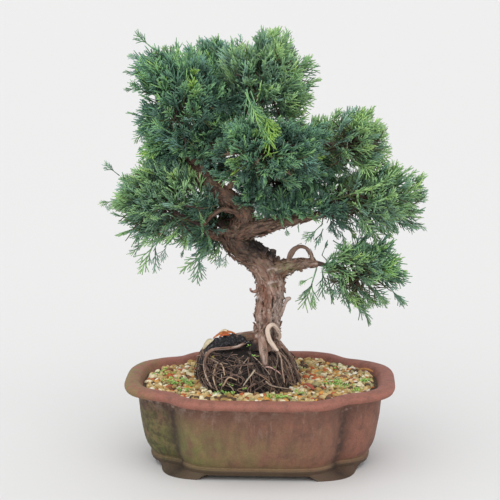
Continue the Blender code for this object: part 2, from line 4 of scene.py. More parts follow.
import bmesh
import bpy
import numpy as np
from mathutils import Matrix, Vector


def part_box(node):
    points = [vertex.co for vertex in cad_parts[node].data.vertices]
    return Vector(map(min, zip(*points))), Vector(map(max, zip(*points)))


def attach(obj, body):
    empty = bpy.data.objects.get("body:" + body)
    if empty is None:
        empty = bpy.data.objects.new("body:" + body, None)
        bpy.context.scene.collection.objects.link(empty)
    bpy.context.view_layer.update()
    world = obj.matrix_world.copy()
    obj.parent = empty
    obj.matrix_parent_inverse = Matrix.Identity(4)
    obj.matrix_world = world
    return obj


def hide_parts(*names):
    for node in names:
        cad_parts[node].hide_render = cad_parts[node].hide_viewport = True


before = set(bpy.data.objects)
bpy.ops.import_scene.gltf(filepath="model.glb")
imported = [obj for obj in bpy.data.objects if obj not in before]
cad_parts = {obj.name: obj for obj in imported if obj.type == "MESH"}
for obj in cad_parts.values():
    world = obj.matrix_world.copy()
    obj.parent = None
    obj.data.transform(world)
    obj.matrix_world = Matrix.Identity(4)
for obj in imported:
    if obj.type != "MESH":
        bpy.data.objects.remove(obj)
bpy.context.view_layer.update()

mm = 0.001
trayLow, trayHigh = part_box("tray")
trayMiddle = np.array([(trayLow.x + trayHigh.x) / 2, (trayLow.y + trayHigh.y) / 2, 0.0])


def place(points):  # from millimetres round the tray's middle to the model's metres
    return np.asarray(points, float) * mm + trayMiddle


# camera, floor and light

view = {
    "camera": (55.1, -1399.0, 451.9),
    "turn": 2.6,  # degrees to the left
    "down": 11.28,
    "lens": 128.2,
    "floor": "#d6d4d1",
    "sky": "#eef0f4",
    "skyStrength": 1.08,
    "sunStrength": 0.85,
    "fillStrength": 0.8,
}


def hexToLinear(code):
    channels = [int(code[i : i + 2], 16) / 255 for i in (1, 3, 5)]
    linear = [c / 12.92 if c <= 0.04045 else ((c + 0.055) / 1.055) ** 2.4 for c in channels]
    return (*linear, 1.0)


def addNode(tree, kind, values=None, links=None, **settings):  # a node with its settings and links
    made = tree.nodes.new(kind)
    for name, value in settings.items():
        setattr(made, name, value)
    for socket, value in (values or {}).items():
        made.inputs[socket].default_value = value
    for socket, source in (links or {}).items():
        tree.links.new(source, made.inputs[socket])
    return made


def newMaterial(name, colour, roughness, ior=1.5):
    material = bpy.data.materials.new(name)
    material.use_nodes = True
    shader = material.node_tree.nodes["Principled BSDF"]
    shader.inputs["Base Color"].default_value = hexToLinear(colour)
    shader.inputs["Roughness"].default_value = roughness
    shader.inputs["IOR"].default_value = ior
    shader.inputs["Metallic"].default_value = 0.0
    return material, material.node_tree, shader


def giveColour(tree, socket, colour):  # a hex value, or what another node gives
    if isinstance(colour, str):
        socket.default_value = hexToLinear(colour)
    else:
        tree.links.new(colour, socket)


def layCoats(tree, under, colours, coats, sources):  # colours over one another, each where its masks let it
    for name, *masks in coats:
        shown = None
        for read, *limits in masks:
            if isinstance(read, tuple):  # noise: its coordinates, its size in millimetres and its detail
                coordinates, size, detail = read
                values = {"Scale": 1.0 / (size * mm), "Detail": detail, "Roughness": 0.6}
                links = {"Vector": sources[coordinates]}
                mask = addNode(tree, "ShaderNodeTexNoise", values, links).outputs["Fac"]
            elif read in sources:
                mask = sources[read]
            else:  # a value that is painted on the piece
                mask = addNode(tree, "ShaderNodeAttribute", attribute_name=read).outputs["Fac"]
            if limits:
                values = dict(zip(("From Min", "From Max", "To Max"), limits))
                mask = addNode(tree, "ShaderNodeMapRange", values, {"Value": mask}).outputs["Result"]
            if shown is not None:
                links = {0: shown, 1: mask}
                mask = addNode(tree, "ShaderNodeMath", links=links, operation="MULTIPLY").outputs[0]
            shown = mask
        values = {7: hexToLinear(colours[name])}
        coat = addNode(tree, "ShaderNodeMix", values, {0: shown}, data_type="RGBA")
        giveColour(tree, coat.inputs[6], under)
        under = coat.outputs[2]
    return under


def mottle(tree, colour, where, size, detail, tones, roughness=0.5):  # darker and paler in patches
    values = {"Scale": 1.0 / (size * mm), "Detail": detail, "Roughness": roughness}
    patch = addNode(tree, "ShaderNodeTexNoise", values, {"Vector": where}).outputs["Fac"]
    values = {"From Min": 0.3, "From Max": 0.7, "To Min": tones[0], "To Max": tones[1]}
    tone = addNode(tree, "ShaderNodeMapRange", values, {"Value": patch}).outputs["Result"]
    mix = addNode(tree, "ShaderNodeMix", {0: 1.0}, {7: tone}, data_type="RGBA", blend_type="MULTIPLY")
    giveColour(tree, mix.inputs[6], colour)
    return mix.outputs[2]


def roughen(tree, shader, where, bumps):  # bumps of this size, detail, strength and height
    links = {}
    for size, detail, strength, height in bumps:
        values = {"Scale": 1.0 / (size * mm), "Detail": detail, "Roughness": 0.6}
        links["Height"] = addNode(tree, "ShaderNodeTexNoise", values, {"Vector": where}).outputs["Fac"]
        bump = addNode(tree, "ShaderNodeBump", {"Strength": strength, "Distance": height * mm}, links)
        links["Normal"] = bump.outputs[0]
    tree.links.new(links["Normal"], shader.inputs["Normal"])


def setStage():
    camera = bpy.data.objects.new("camera", bpy.data.cameras.new("camera"))
    bpy.context.scene.collection.objects.link(camera)
    camera.location = place(view["camera"])
    camera.rotation_euler = (math.radians(90.0 - view["down"]), 0.0, math.radians(view["turn"]))
    camera.data.lens = view["lens"]
    camera.data.sensor_width = 36.0
    camera.data.clip_end = 100.0
    bpy.context.scene.camera = camera

    bpy.ops.object.select_all(action="DESELECT")
    bpy.ops.mesh.primitive_plane_add(size=60.0, location=(0.0, 0.0, 0.0))
    floor = bpy.context.object
    floor.name = "floor"
    floor.data.materials.append(newMaterial("paintedBoard", view["floor"], 0.7)[0])

    world = bpy.context.scene.world or bpy.data.worlds.new("world")
    bpy.context.scene.world = world
    world.use_nodes = True
    sky = world.node_tree.nodes["Background"]
    sky.inputs["Color"].default_value = hexToLinear(view["sky"])
    sky.inputs["Strength"].default_value = view["skyStrength"]
    lamps = (  # name, strength, softness in degrees, where it shines from
        ("overhead", view["sunStrength"], 75.0, (-0.35, -0.75, 1.5)),
        ("fill", view["fillStrength"], 90.0, (0.5, -1.6, 0.75)),
    )
    for name, strength, softness, spot in lamps:
        lamp = bpy.data.objects.new(name, bpy.data.lights.new(name, "SUN"))
        bpy.context.scene.collection.objects.link(lamp)
        lamp.data.energy = strength
        lamp.data.angle = math.radians(softness)
        lamp.location = spot
        lamp.rotation_euler = Vector(spot).to_track_quat("Z", "Y").to_euler()
    bpy.context.scene.view_settings.view_transform = "Standard"
    print("stage is set")


# tools

def latticeNoise(points, seed=0):  # smooth noise from -1 to 1, one swell a unit
    cell = np.floor(points).astype(np.int64)
    part = points - cell
    fade = part * part * (3.0 - 2.0 * part)
    total = np.zeros(len(points))
    for corner in np.ndindex(2, 2, 2):
        spot = cell + corner
        key = (spot[:, 0] * 374761393 + spot[:, 1] * 668265263 + spot[:, 2] * 1440662683 + seed * 69069)
        key = key & 0xFFFFFFFF
        key = ((key ^ (key >> 13)) * 1274126177) & 0xFFFFFFFF
        value = ((key ^ (key >> 16)) & 0xFFFF) / 0x7FFF - 1.0
        weight = np.prod(np.where(corner, fade, 1.0 - fade), axis=1)
        total += value * weight
    return total


def layeredNoise(points, layers, seed):  # noise of several sizes in millimetres and strengths, added up
    return sum(latticeNoise(points / (size * mm), seed + i) * strength
               for i, (size, strength) in enumerate(layers))


def evenTurns(count):  # so many angles, once round
    return 2.0 * math.pi * np.arange(count) / count


def lengthsAlong(points):
    return np.concatenate([[0.0], np.cumsum(np.linalg.norm(np.diff(points, axis=0), axis=1))])


def unit(vectors):
    return vectors / np.maximum(np.linalg.norm(vectors, axis=-1, keepdims=True), 1e-9)


def smoothRun(values, steps):  # a smooth curve through the given values
    values = np.array(values, float)
    padded = np.vstack([2 * values[0] - values[1], values, 2 * values[-1] - values[-2]])
    run = []
    for k in range(len(values) - 1):
        a, b, c, d = padded[k : k + 4]
        for step in range(steps):
            t = step / steps
            run.append(0.5 * (2 * b + (c - a) * t + (2 * a - 5 * b + 4 * c - d) * t**2
                              + (3 * b - a - 3 * c + d) * t**3))
    run.append(values[-1])
    return np.array(run)


def selectOnly(*pieces):
    bpy.ops.object.select_all(action="DESELECT")
    for piece in pieces:
        piece.select_set(True)
    bpy.context.view_layer.objects.active = pieces[0]


def ringPiece(name, rings, firstPoint=None, lastPoint=None):  # a circle extruded from ring to ring
    bpy.ops.object.select_all(action="DESELECT")
    fill = "NGON" if firstPoint is None else "TRIFAN"
    bpy.ops.mesh.primitive_circle_add(vertices=len(rings[0]), radius=1.0, fill_type=fill,
                                      location=(0, 0, 0))
    piece = bpy.context.object
    piece.name = name
    bpy.ops.object.mode_set(mode="EDIT")
    bpy.ops.mesh.select_mode(type="EDGE")
    body = bmesh.from_edit_mesh(piece.data)
    order = body.verts.layers.int.new("order")
    for vert in body.verts:
        turn = math.atan2(vert.co.y, vert.co.x) / (2.0 * math.pi) * len(rings[0])
        vert[order] = round(turn) % len(rings[0]) if vert.co.length > 0.5 else -1
    for vert in body.verts:
        vert.co = firstPoint if vert[order] < 0 else rings[0][vert[order]]
    for edge in body.edges:
        edge.select_set(all(vert[order] >= 0 for vert in edge.verts))
    bmesh.update_edit_mesh(piece.data)
    for ring in rings[1:]:
        bpy.ops.mesh.extrude_edges_move()
        body = bmesh.from_edit_mesh(piece.data)
        order = body.verts.layers.int["order"]
        for vert in body.verts:
            if vert.select:
                vert.co = ring[vert[order]]
        bmesh.update_edit_mesh(piece.data)
    if lastPoint is None:
        bpy.ops.mesh.edge_face_add()
    else:
        bpy.ops.mesh.extrude_edges_move()
        bpy.ops.mesh.merge(type="CENTER")
        body = bmesh.from_edit_mesh(piece.data)
        for vert in body.verts:
            if vert.select:
                vert.co = lastPoint
        bmesh.update_edit_mesh(piece.data)
    bpy.ops.mesh.select_all(action="SELECT")
    bpy.ops.mesh.normals_make_consistent(inside=False)
    bpy.ops.object.mode_set(mode="OBJECT")
    return piece


def readPoints(piece):
    points = np.empty(len(piece.data.vertices) * 3)
    piece.data.vertices.foreach_get("co", points)
    return points.reshape(-1, 3)


def readNormals(piece):
    normals = np.empty(len(piece.data.vertices) * 3)
    piece.data.vertices.foreach_get("normal", normals)
    return normals.reshape(-1, 3)


def writePoints(piece, points):
    piece.data.vertices.foreach_set("co", points.ravel())
    piece.data.update()


def paint(piece, name, values):  # a value for each vertex, which a material reads by name
    values = np.asarray(values, np.float32)
    kind = "FLOAT" if values.ndim == 1 else "FLOAT_VECTOR"
    field = "value" if values.ndim == 1 else "vector"
    piece.data.attributes.new(name, kind, "POINT").data.foreach_set(field, values.ravel())


def joinedPiece(name, points, triangles, slots, materials):  # one mesh from arrays
    mesh = bpy.data.meshes.new(name)
    mesh.vertices.add(len(points))
    mesh.vertices.foreach_set("co", points.astype(np.float32).ravel())
    mesh.loops.add(triangles.size)
    mesh.loops.foreach_set("vertex_index", triangles.astype(np.int32).ravel())
    mesh.polygons.add(len(triangles))
    mesh.polygons.foreach_set("loop_start", np.arange(0, triangles.size, 3, dtype=np.int32))
    mesh.polygons.foreach_set("material_index", slots.astype(np.int32))
    for material in materials:
        mesh.materials.append(material)
    mesh.update()
    piece = bpy.data.objects.new(name, mesh)
    bpy.context.scene.collection.objects.link(piece)
    return piece


def copiesOf(points, triangles, count):  # triangles of so many copies that lie one after another
    return (triangles[None] + points * np.arange(count)[:, None, None]).reshape(-1, 3)


def tubeArrays(lines, radii, sides, rng):  # (points, triangles) of tapering tubes with pointed ends
    count, length, _ = lines.shape
    tangents = unit(np.gradient(lines, axis=1))
    guide = unit(np.cross(lines[:, -1] - lines[:, 0], rng.normal(size=(count, 3))))[:, None]
    across = unit(np.cross(tangents, guide))
    beside = np.cross(across, tangents)
    turns = evenTurns(sides)
    offsets = (across[:, :, None] * np.cos(turns)[None, None, :, None]
               + beside[:, :, None] * np.sin(turns)[None, None, :, None])
    rings = lines[:, :, None] + offsets * radii[:, :, None, None]
    first = lines[:, :1] - tangents[:, :1] * radii[:, :1, None]
    last = lines[:, -1:] + tangents[:, -1:] * radii[:, -1:, None]
    points = np.concatenate([first, rings.reshape(count, -1, 3), last], axis=1)
    faces = []
    for i in range(sides):
        j = (i + 1) % sides
        faces.append((0, 1 + i, 1 + j))
        for k in range(length - 1):
            a, b = 1 + k * sides + i, 1 + k * sides + j
            faces += [(a, a + sides, b), (b, a + sides, b + sides)]
        end = 1 + (length - 1) * sides
        faces.append((end + sides, end + j, end + i))
    per = points.shape[1]
    return points.reshape(-1, 3), copiesOf(per, np.array(faces), count), len(faces)


def cordArrays(starts, ends, radii, taper):  # slim three-sided shoots with blunt ends, of eight faces
    ahead = unit(ends - starts)
    across = unit(np.cross(ahead, np.array((0.31, 0.52, 0.79))))
    beside = np.cross(ahead, across)
    points = []
    for end, radius in ((starts, radii), (ends, radii * taper)):
        for turn in (0.0, 2.0 * math.pi / 3, 4.0 * math.pi / 3):
            points.append(end + (across * math.cos(turn) + beside * math.sin(turn)) * radius[:, None])
    faces = [(0, 2, 1), (3, 4, 5)]
    for i in range(3):
        j = (i + 1) % 3
        faces += [(i, j, 3 + j), (i, 3 + j, 3 + i)]
    return np.stack(points, axis=1).reshape(-1, 3), copiesOf(6, np.array(faces), len(starts))


def bladeArrays(lines, asides, thicks):  # thin blades from middle lines, half widths, half thicknesses
    corners = np.stack([lines - asides - thicks, lines + asides - thicks, lines + asides + thicks,
                        lines - asides + thicks], axis=2)
    steps = lines.shape[1]
    faces = [(0, 2, 1), (0, 3, 2)]
    for k in range(steps - 1):
        for i in range(4):
            a, b = 4 * k + i, 4 * k + (i + 1) % 4
            faces += [(a, b, a + 4), (b, b + 4, a + 4)]
    end = 4 * (steps - 1)
    faces += [(end, end + 1, end + 2), (end, end + 2, end + 3)]
    return corners.reshape(-1, 3), copiesOf(4 * steps, np.array(faces), len(lines)), len(faces)


def turnOutwards(piece):
    selectOnly(piece)
    bpy.ops.object.mode_set(mode="EDIT")
    bpy.ops.mesh.select_all(action="SELECT")
    bpy.ops.mesh.normals_make_consistent(inside=False)
    bpy.ops.object.mode_set(mode="OBJECT")


# clay tray

tray = {
    "halfLength": 109.2,
    "halfWidth": 84.6,
    "longLobe": (72.0, 0.42, 4.6),  # half length, share of an inset, squareness
    "endLobe": (66.0, 3.5),
    "blend": 26.0,
    "inside": [(34.0, 13.0), (30.0, 18.0), (20.0, 42.0), (16.0, 58.0)],
    "rim": [(13.0, 65.5), (10.5, 68.4), (5.5, 69.0), (1.2, 67.6), (0.0, 65.0), (1.0, 62.6)],
    "lip": [(1.0, 62.6), (5.0, 61.7), (9.0, 61.2)],
    "outside": [(9.6, 60.2), (10.8, 56.0), (12.5, 40.0), (15.8, 22.0), (19.0, 14.5), (21.2, 11.2)],
    "band": [(22.2, 10.0), (21.4, 9.0), (20.4, 8.6), (20.6, 7.0), (21.4, 5.0)],
    "foot": (78.5, 64.2, 4.5, 13.0, 5.0),  # half sizes, squareness, thickness, height
    "footAngles": (37.0, 15.5, 4.5),  # where, half span, sloping end, in degrees
    "sectors": 300,
    "wobble": 0.35,  # millimetres that the hand-pressed wall strays
    "swells": ((17.0, 0.6), (6.0, 0.3), (2.2, 0.1)),  # size in millimetres and share of that
    "crease": (14.0, 0.085),  # inset where the lobes meet, and how wide the painted shade in the creases spreads
}


def lobeRadius(angle, halfX, halfY, squareness):
    across = abs(np.cos(angle) / halfX) ** squareness
    along = abs(np.sin(angle) / halfY) ** squareness
    return (across + along) ** (-1.0 / squareness)


def lobeRadii(angle, inset):
    halfLong, share, squareness = tray["longLobe"]
    halfEnd, endSquareness = tray["endLobe"]
    longLobe = lobeRadius(angle, halfLong - share * inset, tray["halfWidth"] - inset, squareness)
    endLobe = lobeRadius(angle, tray["halfLength"] - inset, halfEnd - inset, endSquareness)
    return longLobe, endLobe


def outlineRadius(angle, inset):
    longLobe, endLobe = lobeRadii(angle, inset)
    blend = tray["blend"]
    return (longLobe**blend + endLobe**blend) ** (1.0 / blend)


def outlineRing(inset, height):
    angles = evenTurns(tray["sectors"])
    radii = outlineRadius(angles, inset)
    levels = np.full(len(angles), height)
    return place(np.stack([radii * np.cos(angles), radii * np.sin(angles), levels], axis=-1))


def footRing(inset, lowered=True):
    halfX, halfY, squareness, _, height = tray["foot"]
    where, span, slope = tray["footAngles"]
    ring = []
    for angle in evenTurns(tray["sectors"]):
        radius = lobeRadius(angle, halfX - inset, halfY - inset, squareness)
        folded = abs(math.degrees(math.atan2(math.sin(angle), math.cos(angle))))
        folded = min(folded, 180.0 - folded)
        raised = min(max((abs(folded - where) - span) / slope, 0.0), 1.0)
        level = height * 0.9 * raised if lowered else height
        ring.append((radius * math.cos(angle), radius * math.sin(angle), level))
    return place(ring)


def makeTray():
    floorLevel = tray["inside"][0][1]
    section = [tuple(p) for p in smoothRun(tray["inside"] + tray["rim"], 4)]
    section += [tuple(p) for p in smoothRun(tray["lip"], 2)[1:]]
    section += [tuple(p) for p in smoothRun(tray["outside"], 5)]
    section += [tuple(p) for p in smoothRun(tray["band"], 2)]
    rings = [outlineRing(inset, height) for inset, height in section]
    thickness, footHeight = tray["foot"][3], tray["foot"][4]
    rings.append(footRing(-0.2))
    rings.append(footRing(0.6))
    rings.append(footRing(thickness))
    rings.append(footRing(thickness + 3.0, lowered=False))
    first, last = place((0, 0, floorLevel)), place((0, 0, footHeight))
    piece = ringPiece("clayTray", rings, tuple(first), tuple(last))
    points, normals = readPoints(piece), readNormals(piece)
    stray = layeredNoise(points, tray["swells"], 3)
    upper = np.clip((points[:, 2] - 6 * mm) / (6 * mm), 0.0, 1.0)  # the feet stay flat
    points = points + normals * (stray * tray["wobble"] * mm * upper)[:, None]
    writePoints(piece, points)
    local = points - trayMiddle
    # painted shade in the creases where the lobes meet, stronger under the rim
    inset, spread = tray["crease"]
    longLobe, endLobe = lobeRadii(np.arctan2(local[:, 1], local[:, 0]), inset)
    below = np.clip((61.0 * mm - points[:, 2]) / (6 * mm), 0.25, 1.0)
    paint(piece, "crease", np.exp(-(((longLobe / endLobe) - 1.0) / spread) ** 2) * below)
    selectOnly(piece)
    bpy.ops.object.shade_smooth_by_angle(angle=math.radians(50.0))
    piece.data.materials.append(stoneware())
    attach(piece, "root")
    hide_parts("tray")
    print("tray is made")


clay = {
    "body": "#755242",  # brown where fired darker
    "bodyRed": "#8e5c4b",
    "bodyDark": "#5b4035",
    "rim": "#955f50",
    "rimDark": "#7d5245",
    "olive": "#7c7245",
    "algae": "#535c2b",
    "bloom": "#b9a08e",  # pale salts under the lip
    # near-black: painted shade in the creases and on the left lobe, and darker towards the bottom
    "dirtAndShade": "#34271f",
    "band": "#7d674b",
    # a coat is a colour and its masks: what each reads, where it starts and is full, how strong it gets
    # x and z are millimetres in the model's frame, and (where, 26, 3) is noise of 26 mm and detail 3
    "wall": (
        ("bodyRed", ("x", -60, 70), (("where", 26, 3), 0.25, 0.65)),
        ("bodyDark", (("where", 13, 5), 0.48, 0.64, 0.7), ("z", 62, 54)),
        ("bodyRed", (("where", 5, 5), 0.52, 0.68, 0.55)),
        # the left lobe darker in patches: painted shade
        ("bodyDark", ("x", -68, -85, 0.6), (("where", 18, 3), 0.3, 0.6)),
        ("bodyDark", ("z", 46, 57, 0.6), (("where", 14, 3), 0.25, 0.6)),
        ("olive", ("z", 56, 26, 0.75), ("x", 65, -35), (("where", 16, 3), 0.3, 0.62)),
        ("olive", ("x", -28, -50), ("z", 54, 38), (("where", 9, 4), 0.34, 0.54, 0.75)),
        ("algae", (("where", 11, 5), 0.42, 0.62), ("x", -52, -88), ("z", 60, 48, 0.85)),
        ("algae", (("where", 8, 5), 0.42, 0.6), ("x", -30, -68), ("z", 46, 24, 0.7)),
        ("bodyDark", (("drawnDown", 6, 4), 0.48, 0.66, 0.4), ("z", 60, 50)),  # streaks
        ("bloom", (("drawnDown", 3.2, 4), 0.58, 0.70, 0.22), ("z", 30, 50)),
        # dark specks on the left lobe: painted shade
        ("dirtAndShade", (("where", 4.6, 5), 0.44, 0.58, 0.6), ("x", -62, -84)),
        ("bloom", ("z", 50, 60, 0.55), (("where", 7, 5), 0.46, 0.66), ("x", 90, -60)),
        ("band", ("z", 12.2, 10.4, 0.75), (("where", 6, 3), 0.25, 0.5)),
        # darker towards the bottom, on the feet
        ("dirtAndShade", ("z", 9.2, 7.4, 0.7)),
        # painted shade in the creases
        ("dirtAndShade", ("crease",), (("where", 5, 3), 0.1, 0.6, 0.9)),
        ("bloom", ("crease", 0.25, 0.7), ("z", 53, 59), (("where", 3, 4), 0.5, 0.62, 0.8)),
    ),
    "rimCoats": (
        ("rim", (("where", 7, 4), 0.30, 0.55)),
        ("olive", ("x", -85, -112), (("where", 6, 3), 0.35, 0.6)),
    ),
    "rimLevel": (61.2, 62.4),  # from the wall's colours to the rim's
    "drawn": 0.22,  # the noise of the streaks changes this much as fast downwards as sideways
    "speckle": (1.1, 3.0, (0.82, 1.16)),  # size, detail, darkest and palest
    "bumps": ((0.8, 4.0, 0.5, 0.25), (5.0, 2.0, 0.5, 0.8)),  # size, detail, strength, height
}


def stoneware():
    # unglazed stoneware, moulded and weathered: matt, with blotches, algae and salts
    material, tree, shader = newMaterial("unglazedStoneware", clay["body"], 0.78)
    where = addNode(tree, "ShaderNodeTexCoord").outputs["Object"]
    enlarge = {"Scale": 1.0 / mm}
    inMillimetres = addNode(tree, "ShaderNodeVectorMath", enlarge, {0: where}, operation="SCALE").outputs[0]
    split = addNode(tree, "ShaderNodeSeparateXYZ", links={0: inMillimetres})
    narrow = {1: (1.0, 1.0, clay["drawn"])}
    drawnDown = addNode(tree, "ShaderNodeVectorMath", narrow, {0: where}, operation="MULTIPLY").outputs[0]
    x, z = split.outputs["X"], split.outputs["Z"]
    sources = {"where": where, "drawnDown": drawnDown, "x": x, "z": z}
    wall = layCoats(tree, clay["body"], clay, clay["wall"], sources)
    rim = layCoats(tree, clay["rimDark"], clay, clay["rimCoats"], sources)
    values = dict(zip(("From Min", "From Max"), clay["rimLevel"]))
    onRim = addNode(tree, "ShaderNodeMapRange", values, {"Value": z}).outputs["Result"]
    links = {0: onRim, 6: wall, 7: rim}
    colour = addNode(tree, "ShaderNodeMix", links=links, data_type="RGBA").outputs[2]
    colour = mottle(tree, colour, where, *clay["speckle"], roughness=0.6)
    tree.links.new(colour, shader.inputs["Base Color"])
    roughen(tree, shader, where, clay["bumps"])
    return material


# grit and mound

grit = {
    "top": 63.0,
    "stones": 3700,
    "size": (1.4, 3.0),  # radius in millimetres
    "colours": ("#cdb27c", "#b08f55", "#e6d9b4", "#b8623a", "#83583b", "#efe6d0", "#5a4634", "#a49a6b",
                "#d69a4e"),
    "shares": (0.22, 0.17, 0.14, 0.09, 0.09, 0.06, 0.09, 0.07, 0.07),
    "dust": "#3d2f21",
    "dustCrumbs": "#6b5638",
    "large": [  # x and y, radius, colour
        ((-31.6, -46.8), 4.0, 5), ((-16.8, -46.0), 3.0, 0), ((-11.0, -46.5), 2.9, 0),
        ((32.0, -34.5), 3.0, 0), ((-23.0, -47.5), 2.8, 1), ((44.0, -30.0), 2.8, 2),
    ],
    "wallInset": 16.0,  # from the tray's outline to the first stones
    "heap": (0.8, 1.6, 0.8),  # how high the stones lie, how much more at the back, and how unevenly
    "sunk": (-1.6, 1.1),  # how far a stone lies off that level
    "lumps": 0.34,  # how uneven a stone is
    "flatness": ((0.8, 0.62, 0.5), (1.2, 1.0, 0.8)),  # share of a stone's size, along, across and up
    "seed": 5,
}
mound = {
    "centre": (-8.8, -4.0),
    "lean": -3.5,  # that its top is shifted to the left
    "halfSizes": (43.5, 39.0),
    "flatRight": 0.10,  # share by which its right side is drawn in
    "height": 30.0,
    "profile": [(1.03, -0.06), (1.00, 0.0), (0.965, 0.30), (0.91, 0.58), (0.82, 0.81), (0.70, 0.95),
                (0.50, 1.01), (0.25, 1.03)],
    "lumps": ((7.0, 1.7), (2.8, 1.3)),  # size and height in millimetres
    "sunk": 1.2,  # millimetres by which the lumpy surface is drawn in
    "soil": "#1f1a1a",
    "crumbs": "#3a2d24",
}


def moundRadius(angle):
    halfX, halfY = mound["halfSizes"]
    lump = 1.0 + 0.035 * np.sin(3 * angle + 1.0) + 0.03 * np.sin(5 * angle)
    return halfX * lump * (1.0 - mound["flatRight"] * np.clip(np.cos(angle), 0.0, 1.0)), halfY * lump


def moundPoints(angle, share, rise, lift=0.0):  # points on the mound, or lifted off it, in millimetres
    x, y = mound["centre"]
    halfX, halfY = moundRadius(angle)
    level = grit["top"] + mound["height"] * rise + lift * np.clip(rise, 0.0, 1.0)
    across = x + mound["lean"] * rise + (halfX * share + lift) * np.cos(angle)
    return np.stack([across, y + (halfY * share + lift) * np.sin(angle), level + 0.0 * angle], axis=-1)


def makeMound():
    turns = evenTurns(120)
    profile = smoothRun(mound["profile"], 5)
    rings = [place(moundPoints(turns, share, rise)) for share, rise in profile]
    x, y = mound["centre"]
    base = place((x, y, grit["top"] - 1.5))
    top = place((x + mound["lean"], y, grit["top"] + mound["height"] * 1.03))
    piece = ringPiece("soilMound", rings, tuple(base), tuple(top))
    points, normals = readPoints(piece), readNormals(piece)
    lumps = layeredNoise(points, mound["lumps"], 21) - mound["sunk"]
    above = np.clip((points[:, 2] - grit["top"] * mm) / (2 * mm), 0.0, 1.0)
    writePoints(piece, points + normals * (lumps * mm * above)[:, None])
    selectOnly(piece)
    bpy.ops.object.shade_smooth()
    piece.data.materials.append(dampSoil("dampRootSoil", mound["soil"], mound["crumbs"]))
    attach(piece, "root")
    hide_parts("root_ball")
    print("mound is made")


def dampSoil(name, colour, crumb):
    # damp compost: nearly black, crumbly, a little shiny where it is wet
    material, tree, shader = newMaterial(name, colour, 0.85, 1.4)
    where = addNode(tree, "ShaderNodeTexCoord").outputs["Object"]
    values = {"Scale": 1.0 / (1.6 * mm), "Detail": 4.0}
    crumbs = addNode(tree, "ShaderNodeTexNoise", values, {"Vector": where}).outputs["Fac"]
    mask = addNode(tree, "ShaderNodeMapRange", {"From Min": 0.5, "From Max": 0.72}, {"Value": crumbs})
    values = {6: hexToLinear(colour), 7: hexToLinear(crumb)}
    mix = addNode(tree, "ShaderNodeMix", values, {0: mask.outputs[0]}, data_type="RGBA")
    tree.links.new(mix.outputs[2], shader.inputs["Base Color"])
    bump = addNode(tree, "ShaderNodeBump", {"Strength": 0.8, "Distance": 0.6 * mm}, {"Height": crumbs})
    tree.links.new(bump.outputs[0], shader.inputs["Normal"])
    return material


def stoneMaterial(name, colour):
    # fired clay and crushed stone: dusty, matt, with a paler skin
    material, tree, shader = newMaterial(name, colour, 0.88)
    where = addNode(tree, "ShaderNodeTexCoord").outputs["Object"]
    tree.links.new(mottle(tree, colour, where, 2.5, 3.0, (0.72, 1.15)), shader.inputs["Base Color"])
    return material


def insideTray(x, y, inset):
    return np.hypot(x, y) < outlineRadius(np.arctan2(y, x), inset)


def outsideMound(x, y, share):
    angle = np.arctan2(y - mound["centre"][1], x - mound["centre"][0])
    halfX, halfY = moundRadius(angle)
    return np.hypot((x - mound["centre"][0]) / halfX, (y - mound["centre"][1]) / halfY) > share


def turned(stones, angles, first, second):  # each stone turned in the plane of these two axes
    a, b = stones[..., first], stones[..., second]
    cosines, sines = np.cos(angles)[:, None], np.sin(angles)[:, None]
    found = stones.copy()
    found[..., first] = a * cosines - b * sines
    found[..., second] = a * sines + b * cosines
    return found


